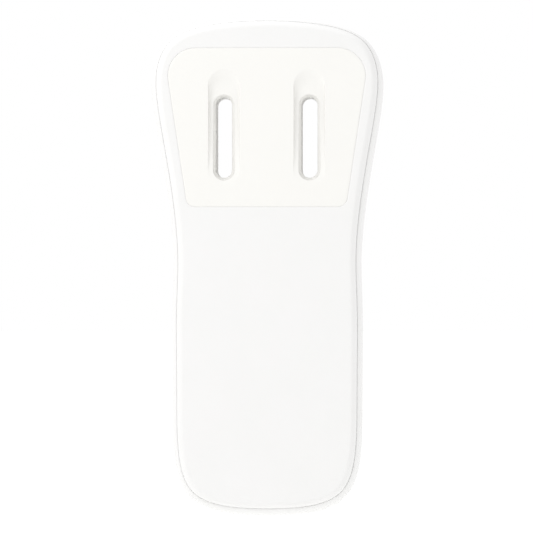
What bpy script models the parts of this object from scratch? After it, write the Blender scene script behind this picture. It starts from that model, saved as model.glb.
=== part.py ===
"""Hand-held apex locator, seen from its rear, with two hanging slots through its head.

The case stands upright: +Z runs towards the head, -Y is the rear and +Y the display side.
Heights in this file are measured up from the lower end of the case, and depths from its rear
face. One empty lowers the whole assembly, so that the origin lies on the rear face between
the upper ends of the two slots, where the hooks of a hanging rail carry the object.
"""
import math

import bmesh
import bpy
import numpy as np
from mathutils import Matrix, Vector

MM = 0.001

# ---------------------------------------------------------------- driving dimensions
# Right half of the widest outline, 150 mm long, as (distance from the middle, height) in
# millimetres, top to bottom.
OUTLINE_ANCHORS = [
    (0.0, 150.0), (20.6, 148.0), (30.4, 143.2), (34.4, 135.4), (34.7, 125.0), (31.3, 104.0),
    (28.45, 79.5), (28.75, 62.0), (28.7, 36.0), (27.6, 14.5), (22.8, 4.9), (13.0, 0.85), (0.0, 0.0),
]
OUTLINE_STEPS = 3
CASE_DEPTH = 22 * MM
WALL = 2.0 * MM
GAP = 0.3 * MM

# The parting groove between rear cover and front housing, and the seal under it.
GROOVE_INSET = 1.6 * MM
COVER_INSET = 2.1 * MM
COVER_RIM_DEPTH = 3.0 * MM
HOUSING_RIM_DEPTH = 4.2 * MM
LIP_DEPTH = 3.4 * MM
REAR_LIFT = 0.8 * MM
RIM_INSET = 3.9 * MM
SEAL_INSETS = (2.85 * MM, 3.75 * MM)

# The trapezoid hanger panel and its bed in the rear cover.
PANEL_TOP = 141.0 * MM
PANEL_BOTTOM = 93.2 * MM
PANEL_TOP_HALF = 31.1 * MM
PANEL_BOTTOM_HALF = 23.9 * MM
PANEL_TOP_RADIUS = 8.4 * MM
PANEL_BOTTOM_RADIUS = 2.8 * MM
PANEL_THICKNESS = 1.6 * MM
BED_MARGIN = 1.0 * MM
BED_DEPTH = 2.95 * MM

# The two hanging slots: a straight slot, a wider rim and a shallow recess with a ramp.
SLOT_X = 12.86 * MM
SLOT_WIDTH = 4.8 * MM
SLOT_LOW = 102.0 * MM
SLOT_HIGH = 126.2 * MM
RIM_FLARE = 0.9 * MM
RECESS_WIDTH = 9.4 * MM
RECESS_LOW = 99.6 * MM
RECESS_HIGH = 134.4 * MM
RECESS_DEPTH = 1.2 * MM
RAMP_FOOT = (117.0 * MM, 129.4 * MM)
BOSS_MARGIN = 1.2 * MM
BOSS_DEPTH = 3.0 * MM
TUBE_WALL = 1.3 * MM
TUBE_END = 21.6 * MM

# Display, keys and lamp on the front. The front wall is cut from inside to outside.
FRONT_CUT = (19 * MM, 23 * MM)
WINDOW_HEIGHT = 66 * MM
WINDOW_HALF = (20.7 * MM, 21.7 * MM)
WINDOW_RADIUS = 4.0 * MM
WINDOW_DEPTHS = (20.9 * MM, 21.9 * MM)
VIEW_HALF = (18.8 * MM, 19.8 * MM)
KEY_HEIGHT = 27 * MM
KEY_PITCH = 14 * MM
KEY_RADIUS = 4.7 * MM
KEY_FACE = 22.6 * MM
KEY_FLANGE_RADIUS = 5.8 * MM
KEY_FLANGE_DEPTHS = (18.4 * MM, 19.4 * MM)
KEY_STEM_END = 17.5 * MM
KEY_TRAVEL = 0.6 * MM
LAMP_HEIGHT = 98 * MM
LAMP_RADIUS = 1.5 * MM
BUZZER_HEIGHT = 114 * MM
BUZZER_RADIUS = 6.0 * MM
BUZZER_END = 18.0 * MM
SOUND_HOLE_RADIUS = 0.7 * MM
SOUND_HOLE_REACH = 2.6 * MM

# Main board, and the sockets at the lower end.
BOARD_DEPTHS = (11.0 * MM, 12.2 * MM)
BOARD_HEIGHTS = (10 * MM, 94 * MM)
BOARD_HALF = 23.6 * MM
BOARD_RADIUS = 3.5 * MM
SOCKET_DEPTH = 12.0 * MM
JACK_X = 10 * MM
JACK_BORE = 1.8 * MM
JACK_COLLAR = 3.0 * MM
NUT_RADIUS = 4.2 * MM
CHARGE_X = -7 * MM
CHARGE_BODY_HALF = (4.5 * MM, 1.6 * MM)
CHARGE_WALL = 0.4 * MM
COVER_HALF = 6.3 * MM
COVER_FLOOR = 2.3 * MM
HINGE_X = CHARGE_X - 5.9 * MM
HINGE_HEIGHT = 1.2 * MM

# The flat cell behind the board, and its foam pad.
CELL_HALF = 17.5 * MM
CELL_DEPTHS = (3.1 * MM, 8.8 * MM)
CELL_HEIGHTS = (26 * MM, 82 * MM)
FOAM_HALF = 14 * MM
FOAM_DEPTHS = (2.1 * MM, 2.8 * MM)
FOAM_HEIGHTS = (30 * MM, 78 * MM)
LEAD_RADIUS = 0.5 * MM

# Screws, and the pillars and posts they hold in: places as (x, height).
CASE_SCREWS = [(-23.5 * MM, 130 * MM), (23.5 * MM, 130 * MM), (-22.2 * MM, 105 * MM), (22.2 * MM, 105 * MM)]
PILLAR_RADIUS = 3.0 * MM
PILLAR_DEPTHS = (5.6 * MM, 20.6 * MM)
WELL_RADIUS = 3.4 * MM
WELL_END = 5.2 * MM
HEAD_SEAT = 3.7 * MM
BOARD_SCREWS = [(-20.5 * MM, 91 * MM), (20.5 * MM, 91 * MM)]
POST_RADIUS = 2.3 * MM
POST_DEPTHS = (12.5 * MM, 20.6 * MM)

# ---------------------------------------------------------------- scene, collections, helpers
for old in list(bpy.data.objects):
    bpy.data.objects.remove(old, do_unlink=True)

parts = bpy.data.collections.new("apex_locator")
cutters = bpy.data.collections.new("cutters")
bpy.context.scene.collection.children.link(parts)
bpy.context.scene.collection.children.link(cutters)

base = bpy.data.objects.new("case_base", None)
base.location = (0, 0, -SLOT_HIGH)
parts.objects.link(base)


def at(x, depth, height):
    """A point given in millimetres."""
    return Vector((x, depth, height)) * MM


def finish(name, colour, roughness, metallic=0.0):
    """A Principled BSDF material from a linear colour, a roughness and a metallic value."""
    material = bpy.data.materials.new(name)
    material.use_nodes = True
    shader = material.node_tree.nodes["Principled BSDF"]
    shader.inputs["Base Color"].default_value = (*colour, 1.0)
    shader.inputs["Roughness"].default_value = roughness
    shader.inputs["Metallic"].default_value = metallic
    material.diffuse_color = (*colour, 1.0)
    return material


def place(obj, collection=None):
    """Keeps an object in one collection and measures its place from the case base."""
    for owner in list(obj.users_collection):
        owner.objects.unlink(obj)
    (collection or parts).objects.link(obj)
    if obj.parent is None:
        obj.parent = base
    if collection is cutters:
        obj.hide_render = True
        obj.display_type = "WIRE"
    return obj


def mesh_object(name, mesh, collection=None):
    mesh.name = name
    return place(bpy.data.objects.new(name, mesh), collection)


def box(name, low, high, collection=None):
    """A box between two corners."""
    low = Vector(low)
    high = Vector(high)
    bpy.ops.mesh.primitive_cube_add(size=1)
    obj = bpy.context.object
    obj.name = name
    obj.data.transform(Matrix.Diagonal((*(high - low), 1)))
    obj.location = (low + high) / 2
    return place(obj, collection)


def cylinder(name, radius, start, end, sides=24, collection=None):
    """A round bar from one point to another."""
    start = Vector(start)
    end = Vector(end)
    mesh = bmesh.new()
    bmesh.ops.create_cone(
        mesh, cap_ends=True, segments=sides, radius1=radius, radius2=radius, depth=(end - start).length,
    )
    data = bpy.data.meshes.new(name)
    mesh.to_mesh(data)
    mesh.free()
    obj = mesh_object(name, data, collection)
    obj.location = (start + end) / 2
    obj.rotation_euler = Vector((0, 0, 1)).rotation_difference(end - start).to_euler()
    return obj


def rounded(corners, radii, steps=5):
    """The corners of a convex outline, given anticlockwise, each turned by an arc."""
    points = []
    for index, corner in enumerate(corners):
        here = Vector(corner)
        back = (Vector(corners[index - 1]) - here).normalized()
        ahead = (Vector(corners[(index + 1) % len(corners)]) - here).normalized()
        half_angle = back.angle(ahead) / 2
        radius = radii[index]
        centre = here + (back + ahead).normalized() * radius / math.sin(half_angle)
        first = here + back * radius / math.tan(half_angle) - centre
        sweep = math.pi - 2 * half_angle
        for step in range(steps + 1):
            turn = sweep * step / steps
            points.append(centre + Matrix.Rotation(turn, 2) @ first)
    return [tuple(point) for point in points]


def rectangle(x, height, half_x, half_height, radius, steps=5):
    """A rectangle with round corners about a centre."""
    corners = [
        (x - half_x, height - half_height), (x + half_x, height - half_height),
        (x + half_x, height + half_height), (x - half_x, height + half_height),
    ]
    return rounded(corners, [radius] * 4, steps)


def stadium(x, low, high, width, steps=6):
    """An upright slot outline with two round ends."""
    return rectangle(x, (low + high) / 2, width / 2, (high - low) / 2, width / 2 * 0.9999, steps)


def plate(name, points, rear, front, collection=None):
    """A flat outline in the plane of the case, extruded between two depths and made a mesh."""
    curve = bpy.data.curves.new(name, "CURVE")
    curve.dimensions = "2D"
    curve.fill_mode = "BOTH"
    curve.extrude = (front - rear) / 2
    spline = curve.splines.new("POLY")
    spline.points.add(len(points) - 1)
    spline.use_cyclic_u = True
    for slot, (x, height) in zip(spline.points, points):
        slot.co = (x, height, 0, 1)
    outline = bpy.data.objects.new(name + "_outline", curve)
    parts.objects.link(outline)
    bpy.context.view_layer.update()
    evaluated = outline.evaluated_get(bpy.context.evaluated_depsgraph_get())
    mesh = bpy.data.meshes.new_from_object(evaluated)
    bpy.data.objects.remove(outline, do_unlink=True)
    work = bmesh.new()
    work.from_mesh(mesh)
    bmesh.ops.remove_doubles(work, verts=work.verts, dist=1e-6)
    bmesh.ops.dissolve_limit(work, angle_limit=0.001, verts=work.verts, edges=work.edges)
    bmesh.ops.recalc_face_normals(work, faces=work.faces)
    work.to_mesh(mesh)
    work.free()
    obj = mesh_object(name, mesh, collection)
    obj.rotation_euler = (math.radians(90), 0, 0)
    obj.location = (0, (rear + front) / 2, 0)
    return obj


def loft(name, rings, collection=None):
    """A closed skin over outlines of equal point count, each given with its depth."""
    work = bmesh.new()
    rows = []
    for depth, points in rings:
        rows.append([work.verts.new((x, depth, height)) for x, height in points])
    count = len(rows[0])
    for near, far in zip(rows, rows[1:]):
        for index in range(count):
            after = (index + 1) % count
            work.faces.new((near[index], near[after], far[after], far[index]))
    work.faces.new(rows[0])
    work.faces.new(rows[-1])
    bmesh.ops.recalc_face_normals(work, faces=work.faces)
    mesh = bpy.data.meshes.new(name)
    work.to_mesh(mesh)
    work.free()
    return mesh_object(name, mesh, collection)


def boolean(target, tool, operation="DIFFERENCE"):
    """Cuts, joins or intersects a part with a tool from the cutters collection."""
    modifier = target.modifiers.new(tool.name, "BOOLEAN")
    modifier.operation = operation
    modifier.solver = "EXACT"
    modifier.object = tool


def bevel(obj, width):
    """Rounds the sharp edges of a part."""
    modifier = obj.modifiers.new("edge", "BEVEL")
    modifier.width = width
    modifier.segments = 2
    modifier.limit_method = "ANGLE"
    modifier.angle_limit = math.radians(40)


def wire(name, points, radius):
    """A round insulated wire through a few points, smoothed by a Bezier curve."""
    path = bpy.data.curves.new(name, "CURVE")
    path.dimensions = "3D"
    path.bevel_depth = radius
    path.bevel_resolution = 1
    path.resolution_u = 3
    path.use_fill_caps = True
    spline = path.splines.new("BEZIER")
    spline.bezier_points.add(len(points) - 1)
    for knot, point in zip(spline.bezier_points, points):
        knot.co = point
        knot.handle_left_type = "AUTO"
        knot.handle_right_type = "AUTO"
    guide = bpy.data.objects.new(name + "_path", path)
    parts.objects.link(guide)
    bpy.context.view_layer.update()
    evaluated = guide.evaluated_get(bpy.context.evaluated_depsgraph_get())
    mesh = bpy.data.meshes.new_from_object(evaluated)
    bpy.data.objects.remove(guide, do_unlink=True)
    work = bmesh.new()
    work.from_mesh(mesh)
    bmesh.ops.remove_doubles(work, verts=work.verts, dist=1e-6)
    bmesh.ops.recalc_face_normals(work, faces=work.faces)
    work.to_mesh(mesh)
    work.free()
    return mesh_object(name, mesh)


def paint(obj, material):
    obj.data.materials.clear()
    obj.data.materials.append(material)
    return obj


# ---------------------------------------------------------------- the waisted outline
def spline_samples(anchors, steps):
    """Points and outward normals of the closed cubic spline through the anchors."""
    knots = np.array(anchors)
    count = len(knots)
    spans = np.sqrt(np.linalg.norm(np.roll(knots, -1, 0) - knots, axis=1))
    system = np.zeros((count, count))
    right_side = np.zeros((count, 2))
    for i in range(count):
        after = (i + 1) % count
        system[i, i - 1] += spans[i - 1]
        system[i, i] += 2 * (spans[i - 1] + spans[i])
        system[i, after] += spans[i]
        slope_after = (knots[after] - knots[i]) / spans[i]
        slope_before = (knots[i] - knots[i - 1]) / spans[i - 1]
        right_side[i] = 6 * (slope_after - slope_before)
    bend = np.linalg.solve(system, right_side)
    points = []
    normals = []
    for i in range(count):
        after = (i + 1) % count
        span = spans[i]
        start = knots[i] / span - bend[i] * span / 6
        end = knots[after] / span - bend[after] * span / 6
        for step in range(steps):
            t = span * step / steps
            back = span - t
            point = (bend[i] * back ** 3 + bend[after] * t ** 3) / (6 * span) + start * back + end * t
            tangent = (bend[after] * t ** 2 - bend[i] * back ** 2) / (2 * span) - start + end
            points.append(point)
            normals.append(np.array((-tangent[1], tangent[0])) / np.linalg.norm(tangent))
    return np.array(points), np.array(normals)


left_side_anchors = [(-x, height) for x, height in OUTLINE_ANCHORS[-2:0:-1]]
OUTLINE_POINTS, OUTLINE_NORMALS = spline_samples(OUTLINE_ANCHORS + left_side_anchors, OUTLINE_STEPS)


def outline(inset, lift=0.0):
    """The case outline moved inwards by an inset and upwards by a lift."""
    points = OUTLINE_POINTS * MM - OUTLINE_NORMALS * inset
    return [(float(x), float(height) + lift) for x, height in points]


# ---------------------------------------------------------------- materials
white_abs = finish("white_abs", (0.86, 0.86, 0.84), 0.42)
cover_abs = finish("cover_abs", (0.87, 0.87, 0.86), 0.40)
panel_abs = finish("panel_abs", (0.88, 0.87, 0.83), 0.45)
grey_rubber = finish("grey_rubber", (0.42, 0.43, 0.43), 0.80)
pale_silicone = finish("pale_silicone", (0.62, 0.63, 0.61), 0.70)
steel = finish("steel", (0.60, 0.60, 0.58), 0.30, 1.0)
nickel = finish("nickel", (0.66, 0.64, 0.60), 0.25, 1.0)
window_acrylic = finish("window_acrylic", (0.03, 0.04, 0.05), 0.08)
display_glass = finish("display_glass", (0.20, 0.26, 0.20), 0.10)
black_plastic = finish("black_plastic", (0.03, 0.03, 0.03), 0.50)
diffuser = finish("diffuser", (0.80, 0.82, 0.84), 0.60)
board_green = finish("board_green", (0.02, 0.16, 0.07), 0.45)
polyimide = finish("polyimide", (0.48, 0.22, 0.04), 0.35)
cell_foil = finish("cell_foil", (0.62, 0.62, 0.64), 0.35, 0.8)
foam = finish("foam", (0.08, 0.08, 0.09), 0.95)
ferrite = finish("ferrite", (0.10, 0.10, 0.11), 0.70)
key_grey = finish("key_grey", (0.45, 0.48, 0.52), 0.55)
red_wire = finish("red_wire", (0.55, 0.03, 0.03), 0.45)
black_wire = finish("black_wire", (0.02, 0.02, 0.02), 0.45)
clear_lens = finish("clear_lens", (0.70, 0.80, 0.72), 0.10)


def bars(name, radius, places, depths, sides, target, operation="DIFFERENCE"):
    """Round bars from rear to front at several places, each joined to a part or cut from it."""
    for number, (x, height) in enumerate(places):
        ends = [(x, depth, height) for depth in depths]
        bar = cylinder(f"{name}_{number + 1}", radius, *ends, sides, cutters)
        boolean(target, bar, operation)


# ---------------------------------------------------------------- front housing
# Rings run from the inner edge of the front wall, back inside the shell, round the rim and
# the lip, and forward outside it: (depth, inset, lift) in millimetres.
housing_rings = [
    (20.0, 6.0, 0.0), (19.1, 4.0, 0.0), (17.2, 2.7, 0.0), (14.5, WALL / MM, 0.0),
    (8.0, WALL / MM + 0.1, 0.1), (6.6, 2.9, 0.3), (5.4, RIM_INSET / MM, 0.6),
    (HOUSING_RIM_DEPTH / MM, RIM_INSET / MM, REAR_LIFT / MM),
    (HOUSING_RIM_DEPTH / MM, GROOVE_INSET / MM + 0.05, REAR_LIFT / MM),
    (LIP_DEPTH / MM, GROOVE_INSET / MM, REAR_LIFT / MM),
    (4.3, 0.95, 0.6), (5.8, 0.45, 0.3), (8.0, 0.1, 0.1), (10.5, 0.0, 0.0), (14.5, 0.0, 0.0),
    (17.2, 0.45, 0.0), (19.4, 1.6, 0.0), (21.0, 3.3, 0.0), (21.8, 5.0, 0.0), (CASE_DEPTH / MM, 6.2, 0.0),
]
housing = loft("front_housing", [
    (depth * MM, outline(inset * MM, lift * MM)) for depth, inset, lift in housing_rings])
paint(housing, white_abs)

bars("case_pillar", PILLAR_RADIUS, CASE_SCREWS, PILLAR_DEPTHS, 16, housing, "UNION")
bars("board_post", POST_RADIUS, BOARD_SCREWS, POST_DEPTHS, 16, housing, "UNION")
boolean(housing, box("socket_block", at(-16, 7.4, 1.8), at(16, 16.6, 5.0), cutters), "UNION")

bars("pillar_bore", 1.45 * MM, CASE_SCREWS, (5.0 * MM, 17.0 * MM), 12, housing)
bars("post_bore", 1.25 * MM, BOARD_SCREWS, (12.0 * MM, 18.0 * MM), 12, housing)
pocket = rectangle(0, WINDOW_HEIGHT, WINDOW_HALF[0] + GAP, WINDOW_HALF[1] + GAP, WINDOW_RADIUS + GAP)
boolean(housing, plate("window_pocket", pocket, WINDOW_DEPTHS[0] - GAP, FRONT_CUT[1], cutters))
opening = rectangle(0, WINDOW_HEIGHT, *VIEW_HALF, 2.5 * MM)
boolean(housing, plate("window_opening", opening, *FRONT_CUT, cutters))
for side, name in ((-1, "left"), (1, "right")):
    passage = stadium(side * SLOT_X, SLOT_LOW - TUBE_WALL - GAP, SLOT_HIGH + TUBE_WALL + GAP,
                      SLOT_WIDTH + 2 * (TUBE_WALL + GAP))
    boolean(housing, plate(f"{name}_passage", passage, *FRONT_CUT, cutters))
key_places = [(order * KEY_PITCH, KEY_HEIGHT) for order in (-1, 0, 1)]
bars("key_hole", KEY_RADIUS + GAP, key_places, FRONT_CUT, 28, housing)
bars("lamp_hole", LAMP_RADIUS + GAP, [(0, LAMP_HEIGHT)], FRONT_CUT, 16, housing)
sound_holes = [(0, BUZZER_HEIGHT)]
for turn in (0, math.pi / 2, math.pi, 3 * math.pi / 2):
    sound_holes.append((SOUND_HOLE_REACH * math.cos(turn), BUZZER_HEIGHT + SOUND_HOLE_REACH * math.sin(turn)))
bars("sound_hole", SOUND_HOLE_RADIUS, sound_holes, FRONT_CUT, 10, housing)

# The bed of the charging cover, the two socket mouths and the bed of the ring nut.
charge_x = CHARGE_X / MM
jack_x = JACK_X / MM
socket_y = SOCKET_DEPTH / MM
cover_bed = box(
    "cover_bed", at(charge_x - 6.6, socket_y - 3.3, -2), at(charge_x + 6.6, socket_y + 3.3, 2.3), cutters)
boolean(housing, cover_bed)
charge_mouth = box(
    "charge_mouth", at(charge_x - 4.8, socket_y - 1.9, 1), at(charge_x + 4.8, socket_y + 1.9, 6), cutters)
bevel(charge_mouth, 1.4 * MM)
boolean(housing, charge_mouth)
boolean(housing, cylinder(
    "nut_bed", NUT_RADIUS + 0.4 * MM, at(jack_x, socket_y, -2), at(jack_x, socket_y, 2.8), 28, cutters))
boolean(housing, cylinder(
    "jack_hole", JACK_COLLAR + GAP, at(jack_x, socket_y, 1), at(jack_x, socket_y, 6), 24, cutters))

# ---------------------------------------------------------------- rear cover
# A shallow tray: its inner face, its rim, and a soft edge round its flat outer face.
cover_rings = [
    (1.8 * MM, 5.2 * MM), (COVER_RIM_DEPTH, 4.0 * MM), (COVER_RIM_DEPTH, COVER_INSET),
    (1.6 * MM, COVER_INSET + 0.05 * MM), (0.7 * MM, COVER_INSET + 0.35 * MM),
    (0.2 * MM, COVER_INSET + 0.85 * MM), (0.0, COVER_INSET + 1.5 * MM),
]
cover = loft("rear_cover", [(depth, outline(inset, REAR_LIFT)) for depth, inset in cover_rings])
paint(cover, cover_abs)


def panel_outline(grow):
    """The trapezoid of the hanger panel, grown by a margin."""
    corners = [
        (-PANEL_BOTTOM_HALF - grow, PANEL_BOTTOM - grow), (PANEL_BOTTOM_HALF + grow, PANEL_BOTTOM - grow),
        (PANEL_TOP_HALF + grow, PANEL_TOP + grow), (-PANEL_TOP_HALF - grow, PANEL_TOP + grow),
    ]
    return rounded(corners, [PANEL_BOTTOM_RADIUS + grow] * 2 + [PANEL_TOP_RADIUS + grow] * 2)


boolean(cover, plate("bed_floor", panel_outline(BED_MARGIN), 1.0 * MM, BED_DEPTH, cutters), "UNION")
bars("screw_well", WELL_RADIUS, CASE_SCREWS, (2.2 * MM, WELL_END), 16, cover, "UNION")
for x, name in ((-12, "left"), (12, "right")):
    boolean(cover, box(f"{name}_hook", at(x - 2, 1.4, 6.6), at(x + 2, 7.6, 7.8), cutters), "UNION")
boolean(cover, plate("panel_bed", panel_outline(GAP), -2 * MM, PANEL_THICKNESS + GAP, cutters))
for side, name in ((-1, "left"), (1, "right")):
    clearance = stadium(side * SLOT_X, RECESS_LOW - BOSS_MARGIN - GAP, RECESS_HIGH + BOSS_MARGIN + GAP,
                        RECESS_WIDTH + 2 * (BOSS_MARGIN + GAP))
    boolean(cover, plate(f"{name}_boss_clearance", clearance, 1.0 * MM, 4.0 * MM, cutters))
bars("head_bore", 2.6 * MM, CASE_SCREWS, (1.0 * MM, HEAD_SEAT), 20, cover)
bars("shank_bore", 1.45 * MM, CASE_SCREWS, (3.0 * MM, 6.0 * MM), 12, cover)

# ---------------------------------------------------------------- case seal
seal_edge, seal_inner = [outline(inset, REAR_LIFT) for inset in SEAL_INSETS]
seal = loft("case_seal", [(3.3 * MM, seal_edge), (3.9 * MM, seal_edge)])
boolean(seal, loft("seal_hole", [(3.0 * MM, seal_inner), (4.2 * MM, seal_inner)], cutters))
paint(seal, pale_silicone)

# ---------------------------------------------------------------- hanger panel
panel_slide = bpy.data.objects.new("panel_slide", None)
panel_slide.parent = base
parts.objects.link(panel_slide)

panel = plate("hanger_panel", panel_outline(0.0), 0.0, PANEL_THICKNESS)
for side, name in ((-1, "left"), (1, "right")):
    boss = stadium(side * SLOT_X, RECESS_LOW - BOSS_MARGIN, RECESS_HIGH + BOSS_MARGIN,
                   RECESS_WIDTH + 2 * BOSS_MARGIN)
    boolean(panel, plate(f"{name}_boss", boss, 0.8 * MM, BOSS_DEPTH, cutters), "UNION")
    tube = stadium(side * SLOT_X, SLOT_LOW - TUBE_WALL, SLOT_HIGH + TUBE_WALL, SLOT_WIDTH + 2 * TUBE_WALL)
    boolean(panel, plate(f"{name}_tube", tube, 2.0 * MM, TUBE_END, cutters), "UNION")
for side, name in ((-1, "left"), (1, "right")):
    x = side * SLOT_X
    boolean(panel, loft(f"{name}_recess", [
        (-1.0 * MM, stadium(x, RECESS_LOW, RECESS_HIGH + 2 * MM, RECESS_WIDTH)),
        (0.0, stadium(x, RECESS_LOW, RECESS_HIGH, RECESS_WIDTH)),
        (RECESS_DEPTH, stadium(x, *RAMP_FOOT, RECESS_WIDTH - 0.6 * MM)),
    ], cutters))
    boolean(panel, loft(f"{name}_slot", [
        (depth, stadium(x, SLOT_LOW - flare, SLOT_HIGH + flare, SLOT_WIDTH + 2 * flare))
        for depth, flare in (
            (-1.0 * MM, RIM_FLARE), (RECESS_DEPTH, RIM_FLARE), (RECESS_DEPTH + 0.5 * MM, 0.4 * RIM_FLARE),
            (RECESS_DEPTH + 1.5 * MM, 0.0), (TUBE_END - 0.8 * MM, 0.0), (TUBE_END + 1.0 * MM, 1.0 * MM),
        )
    ], cutters))
paint(panel, panel_abs)
panel.parent = panel_slide


# ---------------------------------------------------------------- case and board screws
def screw(name, x, height, head, shank, drive):
    """A screw seen from the rear; head, shank and drive are (radius, rear end, front end)."""
    made = cylinder(name, head[0], (x, head[1], height), (x, head[2], height), 16)
    bars(name + "_shank", shank[0], [(x, height)], shank[1:], 12, made, "UNION")
    bars(name + "_drive", drive[0], [(x, height)], drive[1:], 6, made)
    paint(made, steel)


case_screw_shape = [at(2.2, 2.1, 3.4), at(1.1, 3.2, 14), at(0.9, 1.5, 2.8)]
for number, (x, height) in enumerate(CASE_SCREWS):
    screw(f"case_screw_{number + 1}", x, height, *case_screw_shape)
board_screw_shape = [at(1.9, 9.6, 10.7), at(0.9, 10.5, 16), at(0.8, 9.0, 10.2)]
for number, (x, height) in enumerate(BOARD_SCREWS):
    screw(f"board_screw_{number + 1}", x, height, *board_screw_shape)

# ---------------------------------------------------------------- display
window = plate("display_window", rectangle(0, WINDOW_HEIGHT, *WINDOW_HALF, WINDOW_RADIUS), *WINDOW_DEPTHS)
paint(window, window_acrylic)

view = WINDOW_HEIGHT / MM
frame_outline = rectangle(0, WINDOW_HEIGHT, 21.8 * MM, 22.4 * MM, 1.5 * MM, 2)
lcd_frame = plate("lcd_frame", frame_outline, 12.5 * MM, 19.7 * MM)
boolean(lcd_frame, box("frame_well", at(-19.9, 12, view - 20.9), at(19.9, 18.9, view + 20.9), cutters))
boolean(lcd_frame, box("frame_view", at(-18.4, 18, view - 19.4), at(18.4, 21, view + 19.4), cutters))
boolean(lcd_frame, box("flex_slit", at(-12.6, 12, view - 23), at(12.6, 16, view - 20), cutters))
paint(lcd_frame, black_plastic)
paint(box("lcd_glass", at(-19.5, 16.7, view - 20.5), at(19.5, 18.6, view + 20.5)), display_glass)
paint(box("backlight", at(-19.2, 13.4, view - 20.2), at(19.2, 16.4, view + 20.2)), diffuser)
paint(box("lcd_flex", at(-12, 12.6, view - 27), at(12, 12.9, view - 18)), polyimide)

# ---------------------------------------------------------------- main board and its parts
board_middle = sum(BOARD_HEIGHTS) / 2
board_half_height = (BOARD_HEIGHTS[1] - BOARD_HEIGHTS[0]) / 2
board_outline = rectangle(0, board_middle, BOARD_HALF, board_half_height, BOARD_RADIUS, 3)
board = plate("main_board", board_outline, *BOARD_DEPTHS)
tongue = box("board_tongue", at(-7, BOARD_DEPTHS[0] / MM, 93), at(7, BOARD_DEPTHS[1] / MM, 123), cutters)
boolean(board, tongue, "UNION")
boolean(board, box("charge_notch", at(charge_x - 5, 10, 8), at(charge_x + 5, 14, 12.4), cutters))
boolean(board, box("jack_notch", at(jack_x - 4.4, 10, 8), at(jack_x + 4.4, 14, 15.6), cutters))
bars("board_hole", 1.25 * MM, BOARD_SCREWS, (10 * MM, 14 * MM), 12, board)
paint(board, board_green)

# Each part on the rear of the board: name, lower left corner, size, height and finish, in mm.
rear_of_board = BOARD_DEPTHS[0] - GAP
front_of_board = BOARD_DEPTHS[1] + GAP
BOARD_CHIPS = [
    ("microcontroller", (-5, 50), (10, 10), 1.2, black_plastic),
    ("measuring_chip", (9, 34), (6, 5), 1.1, black_plastic),
    ("charge_chip", (-14, 28), (4, 4), 0.9, black_plastic),
    ("crystal", (-6, 64), (8, 3.2), 1.3, nickel),
    ("isolating_transformer", (-20, 13), (9, 8), 4.6, ferrite),
]
for name, corner, size, tall, material in BOARD_CHIPS:
    chip = box(name, (corner[0] * MM, rear_of_board - tall * MM, corner[1] * MM),
               ((corner[0] + size[0]) * MM, rear_of_board, (corner[1] + size[1]) * MM))
    paint(chip, material)
for number, x in enumerate((-6, 1)):
    can = cylinder(f"capacitor_{number + 1}", 2.5 * MM, (x * MM, rear_of_board - 5.2 * MM, 18 * MM),
                   (x * MM, rear_of_board, 18 * MM), 18)
    paint(can, cell_foil)

status_led = box("status_led", (-0.8 * MM, front_of_board, LAMP_HEIGHT - 0.6 * MM),
                 (0.8 * MM, front_of_board + 0.8 * MM, LAMP_HEIGHT + 0.6 * MM))
paint(status_led, clear_lens)
light_pipe = cylinder("light_pipe", LAMP_RADIUS, (0, 13.8 * MM, LAMP_HEIGHT), (0, 21.9 * MM, LAMP_HEIGHT), 16)
bars("pipe_flange", 2.6 * MM, [(0, LAMP_HEIGHT)], (18.6 * MM, 19.6 * MM), 16, light_pipe, "UNION")
paint(light_pipe, clear_lens)

buzzer = cylinder(
    "buzzer", BUZZER_RADIUS, (0, front_of_board, BUZZER_HEIGHT), (0, BUZZER_END, BUZZER_HEIGHT), 28)
bars("buzzer_port", 1.0 * MM, [(0, BUZZER_HEIGHT)], (16.4 * MM, 19 * MM), 12, buzzer)
paint(buzzer, black_plastic)

# ---------------------------------------------------------------- battery
cell = box("battery_cell", *[
    (side * CELL_HALF, depth, height) for side, depth, height in zip((-1, 1), CELL_DEPTHS, CELL_HEIGHTS)])
bevel(cell, 1.2 * MM)
paint(cell, cell_foil)
pad = box("battery_foam", *[
    (side * FOAM_HALF, depth, height) for side, depth, height in zip((-1, 1), FOAM_DEPTHS, FOAM_HEIGHTS)])
paint(pad, foam)
plug = box("battery_plug", at(-3.5, 6.9, 86.4), at(3.5, rear_of_board / MM, 91))
paint(plug, diffuser)
for number, (x, material) in enumerate(((-1.4, red_wire), (1.4, black_wire))):
    route = [at(x, 6.0, 82.4), at(x, 6.2, 83.4), at(x, 7.6, 84.6), at(x, 8.2, 86.0)]
    paint(wire(f"battery_lead_{number + 1}", route, LEAD_RADIUS), material)

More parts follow.
